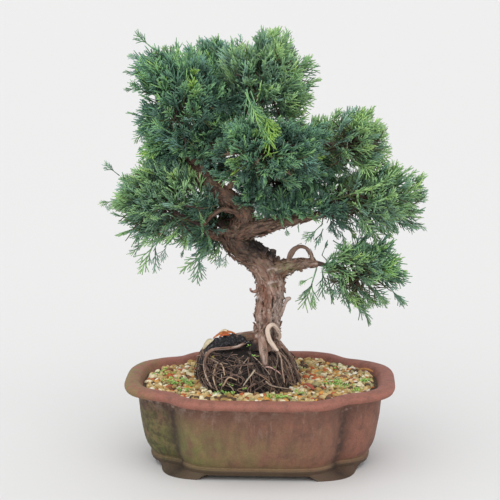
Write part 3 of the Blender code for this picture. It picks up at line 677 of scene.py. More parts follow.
def makeGrit():
    rng = np.random.default_rng(grit["seed"])
    x = rng.uniform(-tray["halfLength"], tray["halfLength"], grit["stones"] * 3)
    y = rng.uniform(-tray["halfWidth"], tray["halfWidth"], grit["stones"] * 3)
    size = rng.uniform(*grit["size"], len(x)) * rng.choice([1.0, 1.0, 1.35], len(x))
    keep = insideTray(x, y, grit["wallInset"] + size * 0.9) & outsideMound(x, y, 0.99)
    x, y, size = (values[keep][: grit["stones"]] for values in (x, y, size))
    level, rise, swell = grit["heap"]
    heap = level + rise * np.clip(y / 60.0, -0.4, 1.0)
    heap = heap + swell * latticeNoise(np.stack([x, y, 0 * x], axis=-1) / 22, 8)
    z = grit["top"] + heap + rng.uniform(*grit["sunk"], len(x))
    bpy.ops.object.select_all(action="DESELECT")
    bpy.ops.mesh.primitive_uv_sphere_add(segments=6, ring_count=4, radius=1.0, location=(0, 0, 0))
    pattern = bpy.context.object
    shape = readPoints(pattern)
    faces = np.array([(face.vertices[0], face.vertices[i], face.vertices[i + 1])
                      for face in pattern.data.polygons for i in range(1, len(face.vertices) - 1)])
    bpy.data.objects.remove(pattern)
    count = len(x)
    turns, tilts = rng.uniform(0, 2 * math.pi, count), rng.uniform(-0.5, 0.5, count)
    spots = shape[None] * 1.3 + rng.uniform(0, 900, (count, 1, 3))
    lumpy = 1.0 + grit["lumps"] * latticeNoise(spots.reshape(-1, 3), 9)
    stones = shape[None] * lumpy.reshape(count, -1, 1)
    stones = stones * rng.uniform(*grit["flatness"], (count, 3))[:, None]
    stones = turned(turned(stones, tilts, 2, 0), turns, 0, 1)
    stones = stones * size[:, None, None] + np.stack([x, y, z], axis=-1)[:, None]
    kinds = rng.choice(len(grit["colours"]), count, p=grit["shares"])
    for spot, radius, kind in grit["large"]:
        nearest = np.hypot(x - spot[0], y - spot[1]).argmin()
        middle = np.array((x[nearest], y[nearest], z[nearest]))
        raised = middle + (0.0, 0.0, 0.4 * radius)
        stones[nearest] = (stones[nearest] - middle) * radius / size[nearest] + raised
        kinds[nearest] = kind
    materials = [stoneMaterial(f"gritStone{i}", code) for i, code in enumerate(grit["colours"])]
    per = len(faces)
    for part, chosen in enumerate((slice(0, count // 2), slice(count // 2, count))):
        some, slots = stones[chosen], np.repeat(kinds[chosen], per)
        triangles = copiesOf(len(shape), faces, len(some))
        points = place(some.reshape(-1, 3))
        piece = joinedPiece(f"gritStones{part + 1}", points, triangles, slots, materials)
        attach(piece, "root")
    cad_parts["soil"].data.materials.clear()
    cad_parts["soil"].data.materials.append(dampSoil("gritDust", grit["dust"], grit["dustCrumbs"]))
    print("grit is made:", count, "stones")


# wood

limbs = {  # parent, points in millimetres, radii
    "trunk": (None, [(4.5, -6, 93.6), (4.8, -5, 99), (5.4, -3.5, 109), (6.4, -1, 122), (7.8, 1, 140),
                     (6, 2, 154), (-3, 3, 165.5), (-14.5, 4, 172.5), (-23, 5, 181), (-26, 5, 189)],
                    [14, 11.4, 10.1, 10.6, 11.4, 12, 10.9, 10.4, 9.4, 7.5]),
    "leader": ("trunk", [(-21, 4, 181), (-16, 3, 192), (-12.5, 1, 202), (-19, -2, 210), (-28, -4, 217),
                         (-38, -5, 225), (-47, -3, 234), (-51, 1, 243), (-48, 5, 252), (-38, 7, 259),
                         (-27, 6, 266), (-18, 4, 274)],
                        [8.5, 8.2, 7.4, 6.8, 6.6, 6.2, 5.8, 5.2, 4.8, 4.2, 3.6, 3]),
    "bough_right": ("trunk", [(-22, 3, 184), (-8, 0, 189), (3, -2, 192.5), (16, -3, 196), (31, -4, 198.5),
                              (43, -4, 202), (54, -4, 203)], [8, 7.4, 6.6, 5, 3.5, 3, 2.7]),
    "bough_low_right": ("trunk", [(4, 1, 154), (17, -1, 157.5), (26, -3, 161.5), (36, -4, 163),
                                  (46, -5, 162.5)], [8.5, 7, 5.2, 3.8, 3.4]),
    "loop_twig": ("bough_low_right", [(22, -4, 161), (25, -5, 172), (32, -6, 177), (39, -6, 173.5),
                                      (43, -5.5, 163)], [2.8, 2.3, 1.7, 1.5, 1.4]),
    "bough_low_left": ("trunk", [(-20, 4, 181), (-33, 4, 182), (-40, 3, 185), (-46, 1, 190)],
                                [4.6, 3.6, 3, 2.5]),
    "bough_low_left_back": ("trunk", [(-22, 6, 180), (-27, 12, 184), (-31, 18, 188)], [4.2, 3.4, 2.6]),
    "arched_twig": ("leader", [(-16, -3, 200), (-22, -10, 206), (-31, -12, 207), (-39, -11, 201),
                               (-46, -8, 193)], [2.4, 2, 1.8, 1.6, 1.3]),
    "bough_crown_left": ("leader", [(-50, 1, 241), (-56, -2, 248), (-59, -4, 254)], [4.2, 3.4, 2.8]),
    "bough_inner_left": ("leader", [(-49, 1, 239), (-52, 7, 241), (-55, 13, 242)], [3.6, 3, 2.4]),
    "bough_crown_back": ("leader", [(-46, 5, 253), (-41, 16, 261), (-34, 25, 268)], [3.8, 3, 2.4]),
    "bough_centre": ("leader", [(-13, 2, 203), (-8, 5, 214), (-8.5, 7, 226), (-8, 9, 238), (3, 10, 247),
                                (18, 8, 253), (30, 4, 256), (40, 2, 258)],
                               [4.6, 3.6, 3, 2.8, 2.7, 2.5, 2.3, 2.1]),
    "bough_centre_front": ("bough_centre", [(-8, 8, 232), (-3, -4, 236), (3, -14, 240)], [3, 2.6, 2.2]),
    "bough_centre_back": ("bough_centre", [(-8.5, 6, 220), (-7, 12, 221), (-6, 17, 222)], [3, 2.6, 2.2]),
    "bough_shoulder_back": ("bough_centre", [(5, 10, 248), (13, 17, 251), (20, 23, 252)], [3, 2.6, 2.2]),
    "bough_right_back": ("bough_right", [(26, -3, 201), (38, 8, 207), (48, 20, 210)], [3.8, 3, 2.4]),
    "root_left": ("trunk", [(3, -3.6, 102.4), (-8, -4, 101.6), (-18, -5, 99.5), (-28, -6, 97.5),
                            (-37, -7, 93), (-43.5, -8, 85), (-47, -9, 75), (-49, -10, 65.5)],
                           [5.5, 3.8, 4.8, 5, 4.2, 3.2, 2.4, 1.8]),
    "root_front": ("trunk", [(3, -8, 105), (2.2, -17, 103), (3, -25, 97.5), (4.4, -31.5, 91.5),
                             (5, -35.5, 86)], [3.8, 3.6, 3.5, 3.2, 2.4]),
    "root_pale": ("trunk", [(13, -5, 98), (16, -9.5, 104), (14, -14.5, 111), (10.2, -17.5, 115.3),
                            (6.6, -19, 112), (7.6, -20.5, 105), (10.5, -21.5, 100), (15, -23.5, 95)],
                           [1.8, 1.6, 1.7, 2, 2.2, 2.1, 2, 1.7]),
    "root_right": ("trunk", [(11, -5, 101), (18, -5.5, 94.5), (24, -7, 86.5), (28.5, -9, 76),
                             (33, -12, 65.5)], [3.2, 2.3, 1.9, 1.6, 1.3]),
    "root_back": ("trunk", [(4, 0, 105), (4, 12, 101.5), (5, 22, 96), (6, 30, 88), (7, 36, 76),
                            (8, 38, 65.5)], [5.5, 4.2, 3.6, 2.8, 2.2, 1.8]),
    "root_back_left": ("trunk", [(0, 0, 102), (-11, 8, 99.5), (-21, 15, 96.5), (-29, 21, 91),
                                 (-35, 27, 80), (-38, 30, 65.5)], [5, 4, 3.6, 3, 2.4, 1.8]),
    "root_slender": ("root_left", [(-12, -8.5, 98), (-17.5, -15, 96.4), (-27.5, -19.5, 96),
                                   (-38, -22.5, 95.2), (-42.6, -25, 89.5), (-42.8, -27.5, 81),
                                   (-39.5, -31, 72.5), (-36, -34.5, 65.5)],
                                  [1.7, 1.5, 1.4, 1.4, 1.4, 1.3, 1.2, 1]),
}
wood = {
    "voxel": 0.61,  # millimetres of the fused mesh
    "core": 0.89,  # share of a limb's radius that is under its bark
    "relief": 1.45,  # millimetres that the strips of bark stand out
    "stripWidth": 2.5,
    "stripStretch": 5.0,  # length of a strip for its width
    "twist": 0.012,  # radians that the grain turns in a millimetre
    "wander": (5.0, 0.7),  # size and width in millimetres of the grain's bends
    "shares": (0.34, 0.20, 0.50, 0.50),  # of the relief: coarse strips, fine strips, scales, lumps
    "bark": "#947565",
    "barkPale": "#cbb7aa",
    "barkRed": "#86523d",
    "barkDarkAndShaded": "#5c4d42",  # darker, greyer bark from the elbow up and on the left root, which is partly painted shade under the crown
    "barkDarkAreaRed": "#7d5343",
    "barkDarkAreaPale": "#a58d76",
    "barkDarkAreaOchre": "#917a50",
    # near-black: painted shade in the grooves, under the edge of each scale, in the knots' eyes and in the
    # seam, and fine dark streaks
    "cleft": "#33261f",
    "sootAndShade": "#231c1a",  # the black weathered wood on the elbow and low on the trunk and roots, and painted shade under the right bough and in the pale root's loop
    "root": "#80604f",
    "deadwood": "#dcc6b4",
    "moss": "#6d7a45",
    "panel": "#b3a197",  # where the outer bark has gone from the trunk's right side
    # coats as on the clay, where a plain name is a field that barkFields gives
    "coats": (
        ("barkRed", (("grain", 3.0, 4), 0.46, 0.66, 0.8)),
        ("root", ("rootShare",), (("where", 4.0, 2), 0.2, 0.7, 0.8)),
        # darker from the elbow up: partly painted shade under the crown
        ("barkDarkAndShaded", ("darkAndShaded",), (("where", 7.0, 3), 0.20, 0.50, 0.92)),
        ("panel", ("panel",), (("grain", 2.4, 3), 0.30, 0.55, 0.85)),
        ("barkPale", ("plate",), (("grain", 1.8, 4), 0.46, 0.66, 1.05), ("darkAndShaded", 1.0, 0.0)),
        ("barkDarkAreaRed", ("darkAndShaded",), (("where", 4.5, 4), 0.50, 0.62, 0.75)),
        ("barkDarkAreaOchre", ("darkAndShaded",), (("where", 3.2, 4), 0.56, 0.66, 0.65)),
        ("barkDarkAreaPale", ("plate",), (("grain", 1.8, 4), 0.46, 0.66, 1.05), ("darkAndShaded",),
                        (("grain", 1.5, 3), 0.45, 0.62, 0.9)),
        # painted shade where the bark lies low
        ("cleft", ("cleft", 0.40, 0.85, 0.92)),
        ("cleft", (("grain", 0.9, 2), 0.58, 0.78, 0.6)),
        ("deadwood", ("deadwood",), (("grain", 2.6, 3), 0.22, 0.45)),
        ("moss", ("mossy",), (("where", 2.0, 3), 0.35, 0.6, 0.8)),
        # black weathered wood, and painted shade under the right bough and in the pale root's loop
        ("sootAndShade", ("sootAndShade",), (("where", 3.0, 3), 0.20, 0.50)),
    ),
    "bumps": ((0.9, 4.0, 0.9, 0.5),),  # size, detail, strength, height
}
barkPlaces = {  # where the bark changes, in millimetres
    "panel": (7.0, 9.5, 0.16, 113.0),  # from and to across, how far its edge leans, and from what height
    "panelHeights": (103.0, 110.0, 138.0, 146.0),  # where it begins, is full, begins to end and ends
    "seam": (10.4, 0.9, 0.03, 124.0),  # across, its width, how far it leans, and from what height
    "seamHeights": (108.0, 112.0, 134.0, 138.0),
    # heights over which the bark darkens: partly painted shade under the crown
    "darkAndShaded": (146.0, 170.0),
    "sootAndShade": (  # middle, size and strength: black wood on the elbow, and painted shade under the right bough and in the pale root's loop
        ((1, -2, 177), (17, 16, 7.5), 1.3),
        ((11, -4, 172), (5, 8, 7), 1.0),
        ((11, -9, 103), (4, 6, 7), 1.0),
    ),
    "moss": ((22, -4, 160), (8, 8, 4)),
    "damp": (86.0, 97.0, 98.0, 103.0),  # soot on the roots and on the trunk's left foot, from full to none
}
knots = (  # x, z, half width and half height in millimetres of the healed knots in the trunk's front
    (11.3, 145.2, 4.8, 3.5),
    (9.3, 156.2, 3.8, 2.6),
    (-2.0, 133.0, 2.6, 3.4),
)


def limbLine(name, steps):
    _, points, radii = limbs[name]
    run = smoothRun([(*point, radius) for point, radius in zip(points, radii)], steps)
    return place(run[:, :3]), run[:, 3] * mm * wood["core"]


def limbFrames(points, level):  # square to the line, turned no further than it turns
    tangents = unit(np.gradient(points, axis=0))
    if level:
        tangents[0] = (0.0, 0.0, 1.0)
    across = np.array((1.0, 0.0, 0.0))
    found = []
    for ahead in tangents:
        across = unit(across - ahead * (across @ ahead))
        found.append((across, np.cross(ahead, across)))
    return np.array([a for a, _ in found]), np.array([b for _, b in found])


def ringsRound(line, radii, turns, level=False):  # a ring square to the line at each of its points
    across, beside = limbFrames(line, level)
    offsets = (across[:, None] * np.cos(turns)[None, :, None]
               + beside[:, None] * np.sin(turns)[None, :, None])
    return line[:, None] + offsets * np.reshape(radii, (len(line), -1, 1))


def limbTube(name):
    points, radii = limbLine(name, 8)
    isTrunk = name == "trunk"
    sides = 26 if isTrunk else 16
    turns = evenTurns(sides)
    share = np.arange(len(points))[:, None] / len(points)
    swell = np.ones((len(points), sides))
    if isTrunk:  # the flutes run on up from the roots
        swell += 0.15 * np.maximum(0.3, 1.0 - 1.5 * share) * np.cos(5 * turns + 0.8 * share)
        swell += 0.05 * np.cos(3 * turns - 2.0 * share + 1.0)
    swell += 0.07 * latticeNoise(points / (9 * mm), len(name))[:, None]
    rings = ringsRound(points, radii[:, None] * swell, turns, isTrunk)
    ahead = unit(points[-1] - points[-2])
    return ringPiece(name + "Core", rings, None, tuple(points[-1] + ahead * radii[-1] * 0.6))


snags = (  # torn ends of bark and short dead stubs: their points in millimetres, and their radius
    ([(-2, -4, 140.4), (-5, -5, 139.6), (-7.4, -5.6, 140.4), (-7.8, -5.8, 142.2)], 1.3),
    ([(-1, -5, 156.0), (-5.6, -6, 156.6), (-7.4, -6, 158.8)], 1.1),
    ([(-4, -5, 166), (-8.6, -6, 163.4), (-10.2, -6, 161.2)], 1.3),
    ([(15.8, -4, 119), (18.4, -4.4, 125), (20.4, -4.8, 130.5), (21.8, -5, 133.4),
      (24.2, -5.2, 134.6)], 1.2),
    ([(7, -2, 164), (9.4, -3, 169), (10.2, -3, 173.2)], 2.9),
    ([(2, -4, 170), (5.5, -5, 175.5)], 1.8),
    ([(31, -3, 160), (33.4, -4, 156.2)], 1.4),
    ([(-30, -2, 187), (-35, -5, 190)], 2.2),
    ([(-44, -6, 239), (-47, -11, 242)], 1.7),
    ([(-24, -5, 225), (-20, -9, 230)], 1.7),
    ([(24, -5, 205), (24.6, -7, 209)], 1.3),
    ([(35, -3, 201), (37, -4, 196)], 1.3),
    ([(12, 9, 159), (14, 16, 163)], 2.2),
    ([(-10, 11, 178), (-12, 18, 180)], 1.9),
)


def makeWood():
    cores = [limbTube(name) for name in limbs]
    turns = evenTurns(9)
    for k, (points, radius) in enumerate(snags):
        line = place(smoothRun(points, 3))
        thick = radius * mm * np.linspace(1.2, 0.7, len(line))
        cores.append(ringPiece(f"snag{k}", ringsRound(line, thick, turns)))
    selectOnly(*cores)
    bpy.ops.object.join()
    piece = bpy.context.object
    piece.name = "barkedWood"
    fuse = piece.modifiers.new("fuse", "REMESH")
    fuse.mode = "VOXEL"
    fuse.voxel_size = wood["voxel"] * mm
    bpy.ops.object.modifier_apply(modifier="fuse")
    soften = piece.modifiers.new("soften", "SMOOTH")
    soften.factor = 0.5
    soften.iterations = 3
    bpy.ops.object.modifier_apply(modifier="soften")
    carveBark(piece)
    bpy.ops.object.shade_smooth()
    piece.data.materials.append(fibrousBark())
    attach(piece, "root")
    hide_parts(*limbs)
    print("wood is made:", len(piece.data.polygons), "faces")


def limbSamples():
    rows = []
    for number, name in enumerate(limbs):
        points, radii = limbLine(name, 10)
        across, beside = limbFrames(points, name == "trunk")
        along = lengthsAlong(points)
        numbers = np.full(len(points), number)
        rows.append((points, radii, across, beside, along + number * 0.37, numbers))
    return [np.concatenate(column) for column in zip(*rows)]


def nearestLimb(points):
    centres, radii, across, beside, along, numbers = limbSamples()
    chosen = np.empty(len(points), int)
    for start in range(0, len(points), 4000):
        some = points[start : start + 4000]
        gaps = np.linalg.norm(some[:, None] - centres[None], axis=-1) - radii[None]
        chosen[start : start + 4000] = gaps.argmin(axis=1)
    away = points - centres[chosen]
    angle = np.arctan2((away * beside[chosen]).sum(axis=1), (away * across[chosen]).sum(axis=1))
    return angle, radii[chosen], along[chosen], numbers[chosen]


def ridges(values):  # crests with clefts between them
    return 1.0 - 2.2 * np.abs(values)


def step(values, low, high):  # 0 below low, 1 above high
    return np.clip((values - low) / (high - low), 0.0, 1.0)


def between(values, limits):  # rises from the first limit to the second, and ends from the third on
    return step(values, *limits[:2]) * step(-values, -limits[3], -limits[2])


def blot(local, middle, size):  # 1 at its middle, and fading out over its size, in millimetres
    return np.exp(-np.sum(((local - middle) / size) ** 2, axis=1))


def barkFields(points, normals):  # how far the bark stands out at each point, and what its material reads
    angle, radius, along, number = nearestLimb(points)
    names = list(limbs)
    isRoot = np.array([name.startswith("root") for name in names])[number]
    onTrunk, onLeft, onFront, onPale = (number == names.index(name)
                                        for name in ("trunk", "root_left", "root_front", "root_pale"))
    local = (points - trayMiddle) / mm
    x, _, z = local.T
    front = normals[:, 1] < -0.15

    # strips that twist round the limb, scales of bark over them, and lumps
    turn = angle + along / mm * wood["twist"]
    girth = np.maximum(radius, 3.0 * mm)
    grain = np.stack([girth * np.cos(turn), girth * np.sin(turn), along / wood["stripStretch"]], axis=-1)
    bendSize, bendWidth = wood["wander"]
    bends = [latticeNoise(points / (bendSize * mm), 60 + i) for i in range(3)]
    grain = grain + bendWidth * mm * np.stack(bends, axis=-1)
    width = wood["stripWidth"] * mm
    coarse = ridges(latticeNoise(grain / width, 31))
    fine = ridges(latticeNoise(grain / (width * 0.45), 32))
    short = grain * (1.0, 1.0, 2.0)
    scales = 3.0 * latticeNoise(short / (width * 1.25) + 40.0, 33)
    scales = scales + latticeNoise(short / (width * 0.5), 35)
    plate = np.floor(scales + 0.5) / 3.0  # flat scales of bark with steps between them
    edge = step((scales + 0.5) % 1.0, 0.72, 1.0)  # in the shade of the next scale
    lumps = latticeNoise(points / (8 * mm), 34) + 0.5 * latticeNoise(points / (3.5 * mm), 36)
    start, full, slant, level = barkPlaces["panel"]
    panel = step(x - slant * (z - level), start, full) * between(z, barkPlaces["panelHeights"])
    panel = panel * front * onTrunk
    strength = np.clip(radius / (7 * mm), 0.25, 1.0) * np.where(isRoot, 0.6, 1.0) * (1.0 - 0.5 * panel)
    height = sum(share * part for share, part in zip(wood["shares"], (coarse, fine, plate, lumps)))
    height = height * strength * wood["relief"]

    # healed knots with their rims, and the seam down the trunk's front
    rims, eyes = np.zeros(len(points)), np.zeros(len(points))
    for knotX, knotZ, halfX, halfZ in knots:
        aside, up = (x - knotX) / halfX, (z - knotZ) / halfZ
        out = np.hypot(aside, up)
        rims += np.exp(-((out - 1.0) / 0.30) ** 2) * np.clip(0.45 + 0.7 * up, 0.0, 1.0) * front * ~isRoot
        eyes += np.clip(1.3 - out / 0.62, 0.0, 1.0) * front * ~isRoot
    across, thin, slant, level = barkPlaces["seam"]
    seam = np.exp(-(((x - across - slant * (z - level)) / thin) ** 2)) * front * onTrunk
    seam = seam * between(z, barkPlaces["seamHeights"])
    height = height * (1.0 - 0.7 * np.clip(rims + eyes, 0.0, 1.0))
    height = height + 2.2 * rims - 1.0 * np.clip(eyes, 0.0, 1.0) - 1.1 * seam

    # darker bark from the elbow up, partly painted shade under the crown; black weathered wood on the elbow
    # and low down, with painted shade under the right bough and in the pale root's loop; and dark clefts,
    # with painted shade in the hollows
    darkAndShaded = step(z, *barkPlaces["darkAndShaded"]) * (1.0 - 0.45 * step(x, -5.0, 22.0)) * ~isRoot
    darkAndShaded = np.maximum(darkAndShaded, 0.95 * onLeft)
    elbow, fork, loop = (share * blot(local, middle, size) for middle, size, share in barkPlaces["sootAndShade"])
    rootFull, rootNone, footFull, footNone = barkPlaces["damp"]
    # painted shade under the right bough, and behind the pale root's loop but not on that root
    sootAndShade = elbow * (normals[:, 2] > -0.3) + fork + loop * ~onPale
    sootAndShade += step(-z, -rootNone, -rootFull) * 0.6 * isRoot
    sootAndShade += step(-z, -footNone, -footFull) * step(-x, -2.0, 3.0) * onTrunk
    # darker where the bark lies low: painted shade in the grooves, under each scale's edge, in the knots'
    # eyes and in the seam
    cleft = 0.42 - 0.42 * coarse - 0.22 * fine - 0.15 * plate + 0.5 * edge + 0.25 * eyes + 0.7 * seam
    return height * mm, {
        "grain": grain,
        "cleft": np.clip(cleft, 0.0, 1.0),
        "plate": np.clip(0.5 + 0.5 * plate + 0.25 * coarse, 0.0, 1.0),
        "rootShare": isRoot * 1.0,
        "deadwood": onPale * 1.0 + onFront * 0.08,
        "darkAndShaded": darkAndShaded,
        "panel": np.clip(panel + 1.6 * rims, 0.0, 1.0),
        "mossy": blot(local, *barkPlaces["moss"]) + 0.35 * eyes,
        "sootAndShade": np.clip(sootAndShade, 0.0, 1.0),
    }


def carveBark(piece):
    points, normals = readPoints(piece), readNormals(piece)
    height, fields = barkFields(points, normals)
    writePoints(piece, points + normals * height[:, None])
    for name, values in fields.items():
        paint(piece, name, values)


def fibrousBark():
    # juniper bark: dry grey-brown strips over red-brown clefts, matt, with grain along each limb
    material, tree, shader = newMaterial("fibrousJuniperBark", wood["bark"], 0.86)
    grain = addNode(tree, "ShaderNodeAttribute", attribute_name="grain").outputs["Vector"]
    where = addNode(tree, "ShaderNodeTexCoord").outputs["Object"]
    colour = layCoats(tree, wood["bark"], wood, wood["coats"], {"grain": grain, "where": where})
    tree.links.new(colour, shader.inputs["Base Color"])
    roughen(tree, shader, grain, wood["bumps"])
    return material


flakes = {
    "onLimb": {
        "trunk": 620, "leader": 460, "bough_right": 240, "bough_low_right": 150, "bough_centre": 110,
        "bough_low_left": 70, "bough_crown_left": 30, "loop_twig": 14, "arched_twig": 24,
    },
    "length": (2.4, 8.0),
    "width": (1.0, 3.2),
    "lift": (0.3, 2.2),
    "steps": 5,
    "thick": 0.2,
    "slope": 0.3,  # how far they stray from the limb's line
    "roll": 0.35,
    "knotMargin": 1.5,  # none within this many sizes of a knot
    "clefts": ((0.0, 0.45, 0.7), (0.6, 0.2, 0.2)),  # how dark they are, and the share of each
    "seed": 12,
}


def makeFlakes():  # scales and strips of bark that peel from the trunk and the boughs
    rng = np.random.default_rng(flakes["seed"])
    steps = flakes["steps"]
    spread = np.linspace(0.0, 1.0, steps)
    lines, asides, radials = [], [], []
    for name, count in flakes["onLimb"].items():
        points, radii = limbLine(name, 10)
        across, beside = limbFrames(points, name == "trunk")
        along = lengthsAlong(points)
        length = rng.uniform(*flakes["length"], count) * mm
        start = rng.uniform(0.03, 0.97, count) * (along[-1] - length)
        run = start[:, None] + length[:, None] * spread
        lift = rng.uniform(*flakes["lift"], count)[:, None] * mm * spread**2
        lift = np.where(rng.random((count, 1)) < 0.5, lift, lift[:, ::-1])
        slope = rng.normal(0.0, flakes["slope"], count)[:, None] * (run - start[:, None])
        girth = np.interp(run, along, radii)
        turns = rng.uniform(0.0, 2.0 * math.pi, count)[:, None] + slope / girth
        spot, a, b = (np.stack([np.interp(run, along, rows[:, i]) for i in range(3)], axis=-1)
                      for rows in (points, across, beside))
        radial = unit(a) * np.cos(turns)[..., None] + unit(b) * np.sin(turns)[..., None]
        around = unit(b) * np.cos(turns)[..., None] - unit(a) * np.sin(turns)[..., None]
        thin = np.clip(girth / (6 * mm), 0.45, 1.0)
        line = spot + radial * (girth * 1.02 + 0.5 * mm * thin + lift * thin)[..., None]
        outline = np.sin(np.linspace(0.3, math.pi - 0.3, steps)) ** 0.5
        outline = outline * rng.uniform(0.6, 1.15, (count, steps))
        half = rng.uniform(*flakes["width"], count)[:, None] * mm / 2 * outline * thin
        roll = rng.normal(0.0, flakes["roll"], count)[:, None, None]
        aside = (around + radial * roll) * half[..., None]
        middle = (line[:, steps // 2] - trayMiddle) / mm
        onKnot = np.zeros(count, bool)
        for knotX, knotZ, halfX, halfZ in knots:
            away = np.hypot((middle[:, 0] - knotX) / halfX, (middle[:, 2] - knotZ) / halfZ)
            onKnot |= away < flakes["knotMargin"]
        keep = ~(onKnot & (middle[:, 1] < 0.0))
        lines.append(line[keep])
        asides.append(aside[keep])
        radials.append(radial[keep])
    lines, asides, radials = np.concatenate(lines), np.concatenate(asides), np.concatenate(radials)
    points, triangles, _ = bladeArrays(lines, asides, radials * flakes["thick"] * mm)
    piece = joinedPiece("barkScales", points, triangles, np.zeros(len(triangles)), [])
    _, fields = barkFields(points, np.repeat(radials.reshape(-1, 3), 4, axis=0))
    fields["plate"] = np.repeat(rng.uniform(0.0, 1.2, len(lines)), 4 * steps)
    darkness, shares = flakes["clefts"]
    fields["cleft"] = np.repeat(rng.choice(darkness, len(lines), p=shares), 4 * steps)
    for name, values in fields.items():
        paint(piece, name, values)
    piece.data.materials.append(bpy.data.materials["fibrousJuniperBark"])
    turnOutwards(piece)
    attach(piece, "root")
    print("bark scales are made:", len(lines))


fineRoots = {  # three values or pairs are for tangled ones, hanging ones, and hairs down the right side
    "counts": (440, 130, 100),
    "begin": ((0.18, 0.9), (0.1, 0.6), (0.25, 0.5)),  # share of the way down the mound
    "length": ((0.06, 0.3), (0.3, 0.7), (0.2, 0.5)),
    "drift": (0.45, 0.25, 0.06),
    "wave": (1.0, 1.0, 0.25),
    "bulge": (1.0, 0.6, 0.15),
    "thickness": (1.0, 1.1, 0.6),
    "hairSide": (-1.05, 0.12),  # angles round the mound, towards the viewer and the right
    "radius": (0.20, 0.54),  # millimetres
    "lift": (-0.7, 0.7),
    "swing": ((0.02, 0.14), (3.0, 9.0)),  # how far and how often they wave
    "highest": 2.4,  # millimetres that a root bulges off the mound
    "steps": 12,
    "sway": 0.5,  # millimetres that the shown roots sway
    "patches": "#2b201b",  # soil on them
    "colours": ("#7f675a", "#54453d", "#a8937f", "#352b27", "#9a7c66"),
    "shares": (0.27, 0.29, 0.10, 0.27, 0.07),
    "seed": 17,
}
shownRoots = (  # roots that stand out on the mound: points in millimetres, radius and colour
    ([(3.2, -34.8, 85.6), (10.5, -33.4, 84), (17.4, -30.6, 78.2)], 0.75, "#cfa79b"),
    ([(-3, -37.6, 83.6), (-8.2, -41.2, 76.6), (-12.3, -42.4, 71.4)], 0.7, "#bfb09a"),
    ([(6, -39.4, 74.4), (11.5, -38, 70.4), (23.2, -31, 66.4)], 0.8, "#a08d7c"),
    ([(17.8, -6.5, 94), (23.6, -7.4, 87.5), (28, -9, 79), (35, -9, 68.5)], 0.65, "#b08358"),
    ([(-35.5, -33.5, 80), (-32.6, -33, 87.6), (-28.4, -36.6, 86), (-26.6, -39.8, 79.6)], 0.85, "#c3a588"),
    ([(-27.6, -41.6, 71), (-23.3, -41.4, 77.8), (-17, -42, 76.2)], 0.75, "#b69a80"),
    ([(-42.5, -18, 92), (-44, -24, 84), (-42, -30, 76), (-37, -36, 68)], 0.95, "#bfa48f"),
    ([(-36, -31, 80), (-35.4, -36.5, 74), (-33, -39.5, 67)], 0.9, "#c4a78d"),
    ([(13, -13, 97), (19.5, -15, 90.5), (25, -19, 80), (29, -22, 68)], 0.55, "#6b564a"),
    ([(12, -16, 96.5), (17, -21, 89), (21.5, -26, 79), (25, -29, 68)], 0.5, "#5b4940"),
    ([(14.6, -23.2, 96), (17.4, -26.6, 90), (18.8, -31.4, 81.5), (20.5, -33.4, 72)], 0.8, "#a58b79"),
    ([(14.8, -23.4, 95.6), (20.2, -24.2, 90.6), (25, -25.2, 82), (28.4, -25.8, 70)], 0.65, "#8a7263"),
    ([(14.2, -23, 96.4), (14.8, -29.6, 88.4), (13.6, -34.6, 80), (17, -36.6, 70)], 0.7, "#6f5a4d"),
)


